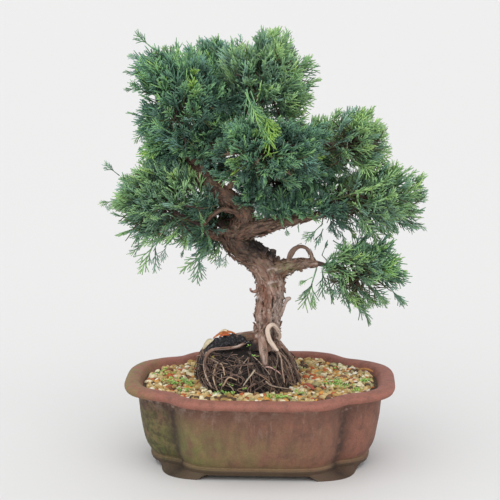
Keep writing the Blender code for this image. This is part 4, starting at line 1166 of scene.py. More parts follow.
def makeFineRoots():  # roots that hang over the mound and into the grit
    rng = np.random.default_rng(fineRoots["seed"])
    steps = fineRoots["steps"]
    profile = smoothRun(mound["profile"][::-1], 6)
    spans = np.linspace(0.0, 1.0, len(profile))
    t = np.linspace(0.0, 1.0, steps)
    count = sum(fineRoots["counts"])
    kind = np.repeat([0, 1, 2], fineRoots["counts"])
    angle = rng.uniform(0.0, 2.0 * math.pi, count)
    angle[kind == 2] = rng.uniform(*fineRoots["hairSide"], fineRoots["counts"][2])
    begin = np.choose(kind, [rng.uniform(*span, count) for span in fineRoots["begin"]])
    length = np.choose(kind, [rng.uniform(*span, count) for span in fineRoots["length"]])
    finish = np.minimum(begin + length, 1.0)
    share = begin[:, None] + (finish - begin)[:, None] * t
    drift = rng.normal(0.0, 1.0, count) * np.choose(kind, fineRoots["drift"])
    width, pace = fineRoots["swing"]
    wave = rng.uniform(*width, count) * np.choose(kind, fineRoots["wave"])
    wave = wave[:, None] * np.sin(t * rng.uniform(*pace, count)[:, None] + angle[:, None] * 7)
    turns = angle[:, None] + drift[:, None] * t + wave
    lift = rng.uniform(*fineRoots["lift"], count)[:, None]
    bulge = rng.uniform(0.0, fineRoots["highest"], count) * np.choose(kind, fineRoots["bulge"])
    lift = lift + np.sin(math.pi * t) * bulge[:, None]
    outer, rise = (np.interp(share, spans, profile[:, i]) for i in (0, 1))
    lines = place(moundPoints(turns, outer, rise, lift))
    radius = rng.uniform(*fineRoots["radius"], count) * np.choose(kind, fineRoots["thickness"])
    radii = radius[:, None] * mm * np.linspace(1.0, 0.5, steps)
    points, triangles, per = tubeArrays(lines, radii, 6, rng)
    materials = [dullSkin(f"fineRoot{i}", code) for i, code in enumerate(fineRoots["colours"])]
    slots = np.repeat(rng.choice(5, count, p=fineRoots["shares"]), per)
    piece = joinedPiece("fineRoots", points, triangles, slots, materials)
    piece.data.shade_smooth()
    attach(piece, "root")
    shown = [smoothRun(line, steps // (len(line) - 1)) for line, _, _ in shownRoots]
    lines = place(np.array(shown))
    sway = latticeNoise(lines.reshape(-1, 3) / (4 * mm), 19).reshape(lines.shape[:2])
    lines[..., 0] += sway * fineRoots["sway"] * mm
    radii = np.array([radius for _, radius, _ in shownRoots])[:, None] * mm
    radii = radii * np.linspace(1.0, 0.6, lines.shape[1])
    points, triangles, per = tubeArrays(lines, radii, 7, rng)
    materials = [dullSkin(f"shownRoot{i}", colour) for i, (_, _, colour) in enumerate(shownRoots)]
    piece = joinedPiece("shownRoots", points, triangles, np.repeat(np.arange(len(lines)), per), materials)
    piece.data.shade_smooth()
    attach(piece, "root")
    print("fine roots are made")


def dullSkin(name, colour):
    # skin of a fine root, a twig or a dead leaf: dull, with darker patches on it
    material, tree, shader = newMaterial(name, colour, 0.8)
    where = addNode(tree, "ShaderNodeTexCoord").outputs["Object"]
    values = {"Scale": 1.0 / (2.0 * mm), "Detail": 3.0}
    patch = addNode(tree, "ShaderNodeTexNoise", values, {"Vector": where}).outputs["Fac"]
    values = {"From Min": 0.5, "From Max": 0.75, "To Max": 0.6}
    mask = addNode(tree, "ShaderNodeMapRange", values, {"Value": patch})
    values = {6: hexToLinear(colour), 7: hexToLinear(fineRoots["patches"])}
    mix = addNode(tree, "ShaderNodeMix", values, {0: mask.outputs[0]}, data_type="RGBA")
    tree.links.new(mix.outputs[2], shader.inputs["Base Color"])
    return material


# wet peat on the left root, dry leaves

peat = {
    "line": [(-12, -7.5, 97.6), (-16.5, -6.8, 99.2), (-22, -6.6, 98.6), (-28, -7.4, 96.4),
             (-35, -8.6, 92.4), (-41, -9.4, 86.0), (-45, -10.0, 78.0)],
    "radii": (2.0, 4.4, 6.2, 7.0, 6.8, 5.6, 3.6),
    "lumps": ((3.2, 1.5), (1.4, 0.9)),  # size and height in millimetres
    "colour": "#222022",
    "crumbs": "#5a5557",
}
dryLeaves = {
    "leaves": (  # start, end, rise of the middle and width in millimetres, colour
        ((-38, -7, 101.0), (-20, -6, 105.0), 3.2, 3.0, "#c0703a"),
        ((-35, -3, 102.5), (-24, -6, 105.4), 3.4, 2.4, "#e0cca8"),
        ((-33, -9, 102.5), (-24, -9, 104.4), 1.8, 3.4, "#b55c30"),
        ((-46, -9, 92.5), (-38, -9, 100.4), 2.0, 4.6, "#d2c4a2"),
        ((-40, -24, 87.0), (-36, -27, 90.4), 1.4, 3.4, "#b9a945"),
        ((34, -18, 66.8), (44, -34, 67.0), 2.0, 4.4, "#a5523a"),
        ((-58, 26, 66.0), (-50, 20, 67.4), 1.4, 3.2, "#a8583a"),
        ((-66, 30, 66.6), (-70, 10, 68.0), 2.6, 1.2, "#a79262"),
        ((78, 30, 66.0), (92, 22, 67.0), 1.8, 2.6, "#b0793f"),
        ((40, 40, 66.0), (52, 52, 67.0), 2.2, 2.0, "#c3a878"),
    ),
    "steps": 7,
    "thick": 0.14,
}


def makePeat():
    run = smoothRun([(*point, radius) for point, radius in zip(peat["line"], peat["radii"])], 6)
    line = place(run[:, :3])
    rings = ringsRound(line, run[:, 3] * mm, evenTurns(36))
    first, last = line[0] + (1 * mm, 0, 0), line[-1] - (0, 0, 2 * mm)
    piece = ringPiece("peatClump", rings, tuple(first), tuple(last))
    points, normals = readPoints(piece), readNormals(piece)
    lumps = layeredNoise(points, peat["lumps"], 24)
    writePoints(piece, points + normals * (lumps * mm)[:, None])
    piece.data.materials.append(dampSoil("wetPeat", peat["colour"], peat["crumbs"]))
    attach(piece, "root")
    print("peat is made")


def makeDryLeaves():
    t = np.linspace(0.0, 1.0, dryLeaves["steps"])[:, None]
    lines, asides = [], []
    for start, end, rise, width, _ in dryLeaves["leaves"]:
        first, last = place(start), place(end)
        line = first + (last - first) * t + np.array((0.0, 0.0, 4.0 * rise * mm)) * t * (1.0 - t)
        aside = unit(np.cross(last - first, (0.2, -0.5, 0.85))) * width / 2 * mm
        lines.append(line)
        asides.append(aside * np.sin(0.25 + 2.64 * t) ** 0.7)
    lines, asides = np.array(lines), np.array(asides)
    thicks = np.zeros_like(lines) + np.array((0.0, -0.5, 0.86)) * dryLeaves["thick"] * mm
    points, triangles, per = bladeArrays(lines, asides, thicks)
    # dead leaves: papery and brown, blotched where they rot
    materials = [dullSkin(f"dryLeaf{i}", leaf[-1]) for i, leaf in enumerate(dryLeaves["leaves"])]
    piece = joinedPiece("dryLeaves", points, triangles, np.repeat(np.arange(len(lines)), per), materials)
    turnOutwards(piece)
    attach(piece, "root")
    print("dry leaves are made")


# seedlings on the grit

seedlings = {
    "patches": [  # x, y in millimetres, radius, number
        (-79, 11, 11, 18), (-69, -10, 11, 24), (-60, -18, 8, 14), (-59, -33, 8, 10), (-85, 33, 8, 6),
        (58, -8, 8, 16), (66, -16, 9, 22), (90, -2, 8, 22), (97, 14, 6, 14), (14, -52, 7, 14),
        (22, -54, 5, 8), (-30, -45, 4, 6), (-22, -46, 4, 5), (33, -38, 5, 6), (4, 52, 12, 10),
        (-42, 50, 12, 10),
        (60, 45, 12, 10), (80, -28, 8, 8), (36, 30, 5, 5),
    ],
    "onMound": [
        (-9.6, -9.2, 95.0), (-8.0, -11, 95.2), (-2.3, -31, 92), (-4.0, -31.5, 92.5), (12.8, -31.5, 83.4),
        (-30.4, -40.6, 71.0), (-28.0, -41.0, 72.0), (-21.6, -43.0, 71.0), (-11.3, -43.5, 68.4),
    ],
    "leafLength": 2.3,
    "height": (0.6, 2.4),
    "colours": ("#b4de72", "#9acb5e", "#76a94a"),
    "shares": (0.5, 0.33, 0.17),
    "seed": 23,
}


def leafArrays(roots, directions, lengths, widths, rng):  # small thin leaves, pointed at both ends
    across = unit(np.cross(directions, rng.normal(size=directions.shape) * 0.35 + (0.0, -0.3, 1.0)))
    face = np.cross(directions, across)
    middle = roots + directions * lengths[:, None] * 0.55
    points = np.stack([
        roots, middle + across * widths[:, None] / 2, middle - across * widths[:, None] / 2,
        roots + directions * lengths[:, None],
        middle + face * lengths[:, None] * 0.1, middle - face * lengths[:, None] * 0.02], axis=1)
    faces = np.array([(0, 1, 4), (1, 3, 4), (3, 2, 4), (2, 0, 4),
                      (1, 0, 5), (3, 1, 5), (2, 3, 5), (0, 2, 5)])
    return points.reshape(-1, 3), copiesOf(6, faces, len(roots)), len(faces)


def makeSeedlings():
    rng = np.random.default_rng(seedlings["seed"])
    spots = []
    for x, y, radius, number in seedlings["patches"]:
        for _ in range(number):
            turn, away = rng.uniform(0, 2 * math.pi), radius * math.sqrt(rng.random())
            spots.append((x + away * math.cos(turn), y + away * math.sin(turn)))
    spots = np.array(spots)
    spots = spots[insideTray(spots[:, 0], spots[:, 1], 18.0)]
    stems = place(np.vstack([np.column_stack([spots, np.full(len(spots), grit["top"] + 2.0)]),
                             seedlings["onMound"]]))
    roots, directions, lengths = [], [], []
    for stem in stems:
        height = rng.uniform(*seedlings["height"]) * mm
        for _ in range(rng.integers(3, 6)):
            turn, rise = rng.uniform(0, 2 * math.pi), rng.uniform(0.0, 0.7)
            roots.append(stem + np.array((0.0, 0.0, height * rng.uniform(0.3, 1.0))))
            flat = math.cos(rise)
            directions.append((math.cos(turn) * flat, math.sin(turn) * flat, math.sin(rise)))
            lengths.append(rng.uniform(0.7, 1.25) * seedlings["leafLength"] * mm)
    roots, directions, lengths = np.array(roots), np.array(directions), np.array(lengths)
    points, triangles, per = leafArrays(roots, directions, lengths, lengths * 0.6, rng)
    # fresh weed leaves: soft, a little glossy, light green
    materials = [newMaterial(f"weedLeaf{i}", code, 0.5)[0] for i, code in enumerate(seedlings["colours"])]
    slots = np.repeat(rng.choice(3, len(roots), p=seedlings["shares"]), per)
    piece = joinedPiece("seedlings", points, triangles, slots, materials)
    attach(piece, "root")
    print("seedlings are made:", len(stems))


# foliage

masses = {  # feeding limb, centre and half sizes in millimetres
    "foliage_apex": ("leader", (3, -4, 306), (46, 46, 46)),
    "foliage_crown_left": ("bough_crown_left", (-62, -10, 293), (45, 46, 50)),
    "foliage_crown_back": ("bough_crown_back", (-31, 45, 295), (49, 38, 48)),
    "foliage_inner_left": ("bough_inner_left", (-56, 40, 240), (46, 36, 35)),
    "foliage_shoulder_right": ("bough_centre", (73, -2, 258), (36, 40, 33)),
    "foliage_shoulder_back": ("bough_shoulder_back", (40, 47, 242), (44, 37, 34)),
    "foliage_wide_right": ("bough_right", (92, -4, 213), (48, 43, 37)),
    "foliage_wide_right_back": ("bough_right_back", (66, 46, 205), (44, 36, 30)),
    "foliage_low_right": ("bough_low_right", (78, -8, 154), (40, 36, 31)),
    "foliage_low_left": ("bough_low_left", (-78, -8, 210), (49, 43, 40)),
    "foliage_low_left_back": ("bough_low_left_back", (-38, 42, 187), (43, 36, 35)),
    "foliage_centre_front": ("bough_centre_front", (8, -36, 257), (52, 31, 34)),
    "foliage_centre_back": ("bough_centre_back", (8, 45, 223), (57, 36, 38)),
}
crown = {
    "squareness": 2.4,  # 2 makes a mass an ellipsoid, and more makes it boxier
    "reach": 1.10,  # how far out its sprays may go, where 1 is the half sizes
    "ragged": 0.14,  # how deep the outline of a mass is bitten
    "tufts": 0.26,  # how deep the bays between its tufts are
    "tuftSize": 15.0,
    "seed": 35,
    "foot": (-15.0, 0.0, 215.0),  # in millimetres: the sprays of the whole crown fan out from here
    "spraysOnTwig": 4,
    "mainShare": 0.42,  # a main twig bears sprays from here on
    "sideShare": 0.22,  # and a side twig from here on
    "tipLimit": (-0.20, -0.02),  # how far short of the outline each spray stops
    "hollow": 0.46,  # nearer the middle than this no spray ends
    "lean": 38.0,
    "leanRange": (0.6, 1.15),  # share of that
    "lastLean": 0.15,  # share of it for the last spray, which carries on from the twig
    "turnStray": 0.5,
    "stray": 0.16,  # how unevenly the sprays point
    "fromTwig": 0.7,  # how much of a spray's direction comes from its twig, and so on below
    "fanFromFoot": 0.55,
    "fanFromLimb": 0.75,
    "outward": 0.25,
    "upward": 0.06,
    "fullness": {  # share of the sprays that is kept at mid-height
        "foliage_low_right": 0.23, "foliage_wide_right": 0.30, "foliage_wide_right_back": 0.18,
        "foliage_shoulder_right": 0.30, "foliage_shoulder_back": 0.35, "foliage_low_left": 0.58,
        "foliage_low_left_back": 0.52,
    },
    "otherFullness": 0.64,
    "paler": {  # how much lighter the greens of a mass are: painted light, and painted shade where it is below 0
        "foliage_centre_front": -0.12, "foliage_centre_back": -0.14,
        "foliage_low_right": 0.26, "foliage_wide_right": 0.20, "foliage_wide_right_back": 0.14,
        "foliage_shoulder_right": 0.36, "foliage_shoulder_back": 0.26, "foliage_low_left": 0.07,
    },
    "fullerAbove": 0.35,
    "overlap": 3.0,  # millimetres that tips reach in among those of the next mass
    "limbMargin": 2.0,
    "cut": 0.84,  # share that is left of a spray each time it is shortened
    "shortest": 10.0,
    "patches": (16.0, 0.22),  # size and depth of the darker and paler patches of a mass
    # paler greens where a spray points up: painted light from above
    "facingUp": 0.10,
    "brightest": 0.30,  # share of yellow-green among the fresh sprays of the bright spots
    "deal": (  # from each level out: greens, and the shares of the sprays up to which each is taken; the deeper greens inside a mass are partly painted shade
        (-9.0, (0, 1, 6), (0.62, 0.94)),
        (0.66, (0, 1, 2, 5), (0.16, 0.58, 0.86)),
        (0.86, (1, 2, 3, 5), (0.32, 0.68, 0.84)),
        (1.10, (1, 2, 3, 5), (0.14, 0.55, 0.85)),
    ),
    "darker": (0, 0, 1, 2, 3, 0, 6),  # for each green, the one that some shoots near a spray's foot take
    "lighter": (1, 2, 3, 4, 4, 2, 6),
}
twigs = {
    "main": 22,
    "mainStray": 0.12,  # how far they stray from an even spread
    "mainShort": 15.0,  # millimetres that they end inside the outline
    "mainShortest": 20.0,
    "lift": 0.10,  # how far their middles are bowed up
    "side": 6,  # on each main twig
    "sideSpan": (0.30, 0.98),  # where along the main twig they start
    "sideLean": (34.0, 62.0),
    "sideLength": (9.0, 22.0),
    "sideReach": 34.0,  # millimetres in which room for a side twig is looked for
    "sideShort": 8.0,  # and how many of them it leaves free
    "sideShortest": 4.0,
    # stem, main and side twigs: sides, radii at the foot and at the tip, bark
    "kinds": ((7, (2.6, 1.2), 0), (5, (1.35, 0.6), 0), (3, (0.7, 0.38), 1)),
    "barks": ("#54403a", "#57583a"),  # of older and of young twigs
}
spray = {
    "length": (20.0, 34.0),
    "radius": 0.62,
    "fullLength": 23.0,  # shorter sprays have slimmer shoots
    "bareShare": 0.3,  # of the sprays have a longer bare foot
    "sideShoots": 7,
    "sideSpan": (0.14, 0.84),  # where along the spray they leave it
    "sideLength": (0.56, 0.24),  # share of the spray's length, at its foot and at its tip
    "angle": 25.0,
    "tilt": 0.20,  # how far the shoots stray from the spray's plane
    "bend": 0.08,
    "bareFoot": 0.26,  # added to where the side shoots start, on a spray with a longer bare foot
    # where each side shoot forks
    "forks": ((0.30, 0.55), (0.30, 0.55), (0.42,), (0.42,), (0.42,), (), ()),
    "forkAngle": 30.0,
    "forkLength": 0.56,
    "taper": 0.6,
}
greens = ("#5b7b6c", "#668f75", "#7eac7c", "#94c07c", "#a2c962", "#76a092", "#8a7160")
# deep, middle, leaf, fresh, yellow-green, blue-green, dead brown
sunlit = {  # the same, paler, on the masses that stand in the light
    "greens": ("#6d8a76", "#7ba07c", "#97be84", "#a6cb86", "#aecf78", "#8ab09a", "#957b68"),
    "masses": ("foliage_apex", "foliage_low_left", "foliage_shoulder_right", "foliage_shoulder_back",
               "foliage_wide_right", "foliage_wide_right_back", "foliage_low_right"),
}
brightSpots = (  # x, y, z in millimetres and radius: fresh sprays that hang at the front
    ((2, -56, 280), 11),
    ((12, -58, 262), 9),
    ((48, -38, 251), 12),
    ((-20, -50, 246), 8),
    ((-44, -46, 322), 12),
)
tufts = (  # sprays that fan out from a limb: foot, direction, spread in degrees, number, lengths, greens
    ((-42, -9, 245), (0.1, -1.0, 0.3), 62, 11, (9, 14), (5, 5, 2)),
    ((-47, -5, 250), (-0.3, -0.7, 0.6), 66, 14, (14, 24), (1, 2, 1)),
    ((-40, -3, 262), (0.0, -0.6, 0.8), 66, 18, (16, 27), (1, 2, 0)),
    ((-28, -1, 268), (0.2, -0.6, 0.8), 66, 18, (16, 27), (1, 2, 3)),
    ((-22, -2, 272), (0.1, -0.9, 0.1), 60, 14, (16, 26), (1, 2, 0)),
    ((-53, -4, 258), (-0.6, -0.6, 0.4), 56, 16, (16, 27), (1, 2, 1)),
    ((-70, -8, 262), (-1.0, -0.3, -0.1), 44, 22, (20, 31), (1, 2, 3)),
    ((-70, -8, 276), (-1.0, -0.2, 0.15), 44, 18, (18, 30), (1, 2, 5)),
    ((-66, -6, 253), (-0.9, -0.4, -0.35), 42, 18, (18, 28), (1, 0, 5)),
    ((-78, -8, 316), (-1.0, -0.2, 0.45), 44, 20, (16, 27), (1, 2, 5)),
    ((-8, 0, 222), (-0.1, -1.0, 0.2), 76, 18, (13, 24), (1, 2, 0)),
    ((-5, 0, 212), (0.4, -0.9, 0.0), 66, 14, (13, 22), (1, 0, 2)),
    ((-4, -3, 234), (-0.2, -0.9, -0.3), 72, 16, (13, 24), (1, 2, 0)),
    ((5, -4, 199), (0.0, -0.5, 0.9), 60, 11, (12, 22), (1, 2, 0)),
    ((16, -5, 201), (0.2, -0.5, 0.85), 62, 13, (13, 24), (1, 2, 0)),
    ((27, -5, 203), (0.2, -0.5, 0.85), 62, 13, (13, 24), (1, 2, 0)),
    ((38, -5, 205), (0.3, -0.6, 0.7), 64, 13, (13, 24), (1, 2, 3)),
    ((49, -5, 206), (0.4, -0.7, 0.4), 66, 13, (13, 24), (1, 2, 0)),
    ((56, -5, 204), (0.7, -0.7, -0.1), 60, 11, (12, 22), (1, 2, 0)),
    ((20, 8, 222), (0.3, -0.8, 0.3), 70, 16, (14, 26), (0, 1, 2)),
    ((40, 4, 230), (0.4, -0.8, 0.0), 70, 16, (14, 26), (0, 1, 2)),
    ((-44, -4, 190), (-0.2, -0.9, 0.3), 66, 12, (12, 22), (1, 2, 0)),
    ((-40, -8, 206), (-0.6, -0.7, 0.3), 60, 12, (12, 22), (1, 2, 0)),
    ((-50, -4, 266), (-0.1, -0.8, 0.5), 60, 14, (14, 24), (1, 2, 5)),
    ((-57, -6, 262), (-0.1, -1.0, 0.1), 66, 13, (13, 22), (1, 2, 0)),
    ((53, -7, 162), (0.7, -0.7, 0.0), 62, 14, (12, 20), (1, 2, 3)),
    ((84, -8, 167), (1.0, -0.2, 0.35), 38, 12, (20, 32), (1, 2, 3)),
    ((90, -8, 160), (1.0, -0.2, 0.05), 38, 12, (20, 30), (1, 2, 3)),
    ((72, -8, 170), (0.5, -0.5, 0.7), 50, 8, (16, 26), (1, 2, 3)),
    ((-26, -12, 292), (0.0, -1.0, 0.1), 60, 12, (13, 22), (0, 1, 2)),
    ((2, -18, 310), (0.0, -1.0, 0.1), 60, 12, (13, 22), (0, 1, 2)),
    ((-6, -44, 305), (0.42, -0.35, -0.85), 20, 4, (20, 30), (2, 3)),
    ((3, -51, 286), (0.40, -0.30, -0.87), 24, 5, (18, 28), (4, 3, 4)),
)
strays = (  # sprays that hang or stand out alone: where each starts and ends, in millimetres
    ((-90, -8, 182), (-104, -12, 170)), ((-86, -8, 177), (-96, -10, 154)),
    ((-84, -6, 175), (-82, -8, 155)), ((-75, -10, 177), (-78, -14, 165)),
    ((-60, -8, 178), (-63, -10, 168)), ((-48, -12, 170), (-51, -18, 148)),
    ((-45, -12, 171), (-64, -20, 160)), ((-51, -12, 168), (-43, -16, 158)),
    ((-39, -6, 175), (-49, -13, 165)), ((-31, -4, 172), (-34, -8, 159)), ((-27, -3, 170), (-30, -7, 160)),
    ((50, -8, 196), (35, -12, 183)), ((50, -8, 192), (44, -12, 177)), ((20, -6, 194), (22, -7, 186)),
    ((30, -6, 197), (31, -8, 189)), ((56, -6, 195), (62, -8, 183)), ((58, -10, 183), (72, -14, 173)),
    ((45, -8, 160), (37, -14, 127)), ((42, -10, 153), (31, -14, 148)), ((42, -10, 147), (31, -14, 136)),
    ((41, -12, 141), (44, -14, 129)), ((50, -6, 158), (50, -8, 136)), ((54, -8, 154), (58, -12, 132)),
    ((74, -8, 145), (88, -12, 114)), ((69, -10, 143), (72, -14, 125)), ((91, -10, 146), (102, -12, 130)),
    ((100, -8, 149), (116, -8, 130)), ((73, -14, 187), (76, -18, 172)), ((84, -12, 190), (81, -20, 174)),
    ((65, -12, 190), (68, -18, 177)), ((90, -10, 190), (94, -16, 175)), ((-83, -8, 333), (-99, -8, 345)),
    ((-90, -8, 325), (-104, -8, 329)), ((-93, -8, 314), (-108, -8, 316)),
    ((-95, -8, 302), (-107, -8, 302)), ((-87, -8, 272), (-100, -10, 261)),
    ((-112, -6, 233), (-124, -8, 243)), ((-115, -6, 213), (-128, -8, 210)),
)


def shareOut(points, centre, half):  # how far out in a mass, where 1 is the outside
    return np.linalg.norm(np.abs((points - centre) / half), crown["squareness"], axis=-1)


def raggedReach(points, name):  # the share of its reach that the mass has in this direction
    centre, half = spaceOf(name)
    x, y, z = unit((points - centre) / half).T
    phase = 1.9 * list(masses).index(name)
    bite = 0.5 + 0.5 * np.sin(4.2 * x + 3.1 * y + phase) * np.sin(5.3 * z - 2.6 * y + 1.7 * phase)
    on = np.stack([x, y, z], axis=-1) * half / (crown["tuftSize"] * mm)
    bay = np.clip(0.35 + 1.2 * latticeNoise(on + phase, 77), 0.0, 1.0)
    return crown["reach"] - crown["ragged"] * bite - crown["tufts"] * bay


def spaceOf(name):
    _, centre, half = masses[name]
    return place(centre), np.array(half) * mm


def insideSpace(name, points, margin, extra=0.0):
    centre, half = spaceOf(name)
    own = shareOut(points, centre, half)
    keep = own <= raggedReach(points, name) + extra
    own = own + margin / half.min()
    for other in masses:
        if other != name:
            otherCentre, otherHalf = spaceOf(other)
            keep &= own < shareOut(points, otherCentre, otherHalf) - margin / otherHalf.min()
    return keep


def spreadDirections(count, turn):
    golden = math.pi * (3.0 - math.sqrt(5.0))
    k = np.arange(count)
    z = 1.0 - 2.0 * (k + 0.5) / count
    flat = np.sqrt(1.0 - z * z)
    return np.stack([flat * np.cos(golden * k + turn), flat * np.sin(golden * k + turn), z], axis=-1)


class Grower:  # grows the twigs and sprays of one mass by the rule of the solids, but finer
    def __init__(self, name, limbPoints, limbRadii):
        self.name = name
        self.feeder = masses[name][0]
        self.centre, self.half = spaceOf(name)
        points, _ = limbLine(self.feeder, 2)
        self.tip = points[-1] - unit(points[-1] - points[-2]) * 10.0 * mm
        self.limbPoints, self.limbRadii = limbPoints, limbRadii
        self.rng = np.random.default_rng(crown["seed"] + list(masses).index(name))

    def inside(self, points, margin=0.4 * mm, extra=0.0):
        flat = points.reshape(-1, 3)
        return insideSpace(self.name, flat, margin, extra).reshape(points.shape[:-1])

    def clearsLimbs(self, points, margin):
        flat = points.reshape(-1, 3)
        gaps = np.linalg.norm(flat[:, None] - self.limbPoints[None], axis=-1) - self.limbRadii
        return (gaps > margin).all(axis=1).reshape(points.shape[:-1])

    def room(self, starts, directions, longest):  # how far each direction stays inside
        steps = np.linspace(0.0, 1.0, 16)[1:] * longest
        spots = starts[:, None] + directions[:, None] * steps[None, :, None]
        ok = self.inside(spots)
        count = np.where(ok.all(axis=1), len(steps), ok.argmin(axis=1))
        return np.where(count > 0, steps[np.maximum(count, 1) - 1], 0.0)

    def mainTwigs(self):
        directions = spreadDirections(twigs["main"], self.rng.uniform(0.0, 2.0 * math.pi))
        directions = directions + self.rng.normal(0.0, twigs["mainStray"], directions.shape)
        directions = unit(directions * self.half)
        starts = np.repeat(self.centre[None], len(directions), axis=0)
        reach = self.room(starts, directions, self.half.max() * 1.4)
        ends = self.centre + directions * (reach - twigs["mainShort"] * mm)[:, None]
        middles = (self.centre + ends) / 2
        middles[:, 2] += twigs["lift"] * reach * 0.5
        t = np.linspace(0.0, 1.0, 8)[None, :, None]
        lines = (1 - t) ** 2 * self.centre + 2 * t * (1 - t) * middles[:, None] + t**2 * ends[:, None]
        return lines[reach > twigs["mainShortest"] * mm]

    def sideTwigs(self, lines):
        count = twigs["side"]
        starts, ahead = pointsAlong(lines, np.linspace(*twigs["sideSpan"], count))
        turn = np.arange(count) * 2.4 + self.rng.uniform(0.0, 6.3, (len(lines), 1))
        lean = np.radians(self.rng.uniform(*twigs["sideLean"], turn.shape))
        directions = leaning(ahead, turn, lean).reshape(-1, 3)
        starts = starts.reshape(-1, 3)
        longest = self.rng.uniform(*twigs["sideLength"], len(starts)) * mm
        free = self.room(starts, directions, twigs["sideReach"] * mm) - twigs["sideShort"] * mm
        reach = np.minimum(free, longest)
        keep = reach > twigs["sideShortest"] * mm
        starts, directions, reach = starts[keep], directions[keep], reach[keep]
        bend = unit(starts - self.centre) * 0.12 + np.array((0.0, 0.0, 0.10))
        t = np.linspace(0.0, 1.0, 5)[None, :, None]
        found = starts[:, None] + (directions[:, None] * t + bend[:, None] * t**2) * reach[:, None, None]
        return found[self.clearsLimbs(found[:, 1:], 1.0 * mm).all(axis=1)]

    def sprays(self, lines, firstPlace):  # roots, directions and lengths of the sprays of these twigs
        count = crown["spraysOnTwig"]
        roots, ahead = pointsAlong(lines, np.linspace(firstPlace, 1.0, count))
        shape = roots.shape[:2]
        turn = self.rng.uniform(0.0, 2.0 * math.pi, (shape[0], 1)) + math.pi * np.arange(count)
        lean = np.radians(crown["lean"] * self.rng.uniform(*crown["leanRange"], shape))
        lean[:, -1] *= crown["lastLean"]
        turn = turn + self.rng.normal(0.0, crown["turnStray"], shape)
        directions = leaning(ahead, turn, lean).reshape(-1, 3)
        roots = roots.reshape(-1, 3)
        directions = unit(crown["fromTwig"] * directions
                          + crown["fanFromFoot"] * unit(roots - place(crown["foot"]))
                          + crown["fanFromLimb"] * unit(roots - self.tip)
                          + crown["outward"] * unit((roots - self.centre) / self.half**2)
                          + np.array((0.0, 0.0, crown["upward"])))
        directions = unit(directions + self.rng.normal(0.0, crown["stray"], directions.shape))
        return self.fitted(roots, directions, self.rng.uniform(*spray["length"], len(roots)) * mm)

    def fitted(self, roots, directions, lengths):  # those that fit in the space, cut to its outline
        extra = self.rng.uniform(*crown["tipLimit"], len(roots))
        overlap = -crown["overlap"] * mm
        for _ in range(4):
            out = ~self.inside(roots + directions * lengths[:, None], overlap, extra)
            lengths = np.where(out, lengths * crown["cut"], lengths)
        tips = roots + directions * lengths[:, None]
        keep = self.inside(tips, overlap, extra) & (lengths > crown["shortest"] * mm)
        keep &= shareOut(tips, self.centre, self.half) > crown["hollow"]
        height = (tips[:, 2] - self.centre[2]) / self.half[2]
        fullness = crown["fullness"].get(self.name, crown["otherFullness"])
        keep &= self.rng.random(len(tips)) < fullness * (1.0 + crown["fullerAbove"] * height)
        for part in (0.3, 0.65, 1.0):
            spots = roots + directions * (lengths * part)[:, None]
            keep &= self.clearsLimbs(spots, crown["limbMargin"] * mm)
        return roots[keep], directions[keep], lengths[keep]


def pointsAlong(lines, fractions):  # (points, directions) at these shares of every line
    spots = fractions * (lines.shape[1] - 1)
    low = np.minimum(spots.astype(int), lines.shape[1] - 2)
    part = (spots - low)[None, :, None]
    return lines[:, low] * (1 - part) + lines[:, low + 1] * part, unit(lines[:, low + 1] - lines[:, low])


def leaning(ahead, turn, lean):  # directions that lean away from those ahead, each to its own side
    across = unit(np.cross(ahead, np.array((0.25, 0.1, 0.93))))
    side = across * np.cos(turn)[..., None] + np.cross(ahead, across) * np.sin(turn)[..., None]
    return ahead * np.cos(lean)[..., None] + side * np.sin(lean)[..., None]


def shootsOfSprays(roots, directions, lengths, rng):  # starts, ends, radii, places along and sprays
    count = len(roots)
    side = unit(np.cross(directions, rng.normal(size=(count, 3))))
    normal = np.cross(directions, side)
    bend = (side + normal) * rng.normal(0.0, spray["bend"], count)[:, None]
    found = []

    def onAxis(t):
        t = np.broadcast_to(t, count)[:, None]
        return roots + (directions * t + bend * t * t) * lengths[:, None]

    slim = np.clip(lengths / (spray["fullLength"] * mm), 0.5, 1.05)
    lowest, highest = spray["sideSpan"]
    first = np.where(rng.random(count) < spray["bareShare"], lowest + spray["bareFoot"], lowest)

    def addShoot(start, end, thick, along):
        radii = spray["radius"] * mm * slim * thick * rng.uniform(0.88, 1.10, count)
        found.append((start, end, radii, np.full(count, along), np.arange(count)))

    addShoot(onAxis(0.0), onAxis(0.62), 1.2, 0.0)
    addShoot(onAxis(0.48), onAxis(1.0), 1.0, 0.6)
    for k, share in enumerate(np.linspace(0.0, 1.0, spray["sideShoots"])):
        t = first + (highest - first) * share
        sign = 1.0 if k % 2 else -1.0
        angle = np.radians(rng.normal(spray["angle"], 5.0, count))
        aside = unit(side * sign + normal * rng.normal(0.0, spray["tilt"], count)[:, None])
        ahead = directions * np.cos(angle)[:, None] + aside * np.sin(angle)[:, None]
        length = lengths * np.interp(t, spray["sideSpan"], spray["sideLength"])
        length = length * rng.uniform(0.8, 1.2, count)
        start, along = onAxis(t), 0.1 + highest * share
        addShoot(start, start + ahead * length[:, None], 1.0, along)
        for fork, outer in zip(spray["forks"][k], (1.0, -1.0)):
            twist = np.radians(rng.normal(spray["forkAngle"], 6.0, count))
            turned = unit(aside * outer + normal * rng.normal(0.0, 0.3, count)[:, None])
            branch = ahead * np.cos(twist)[:, None] + turned * np.sin(twist)[:, None]
            begin = start + ahead * (length * fork)[:, None]
            addShoot(begin, begin + branch * (length * spray["forkLength"])[:, None], 0.92, along + 0.1)
    return [np.concatenate(column) for column in zip(*found)]


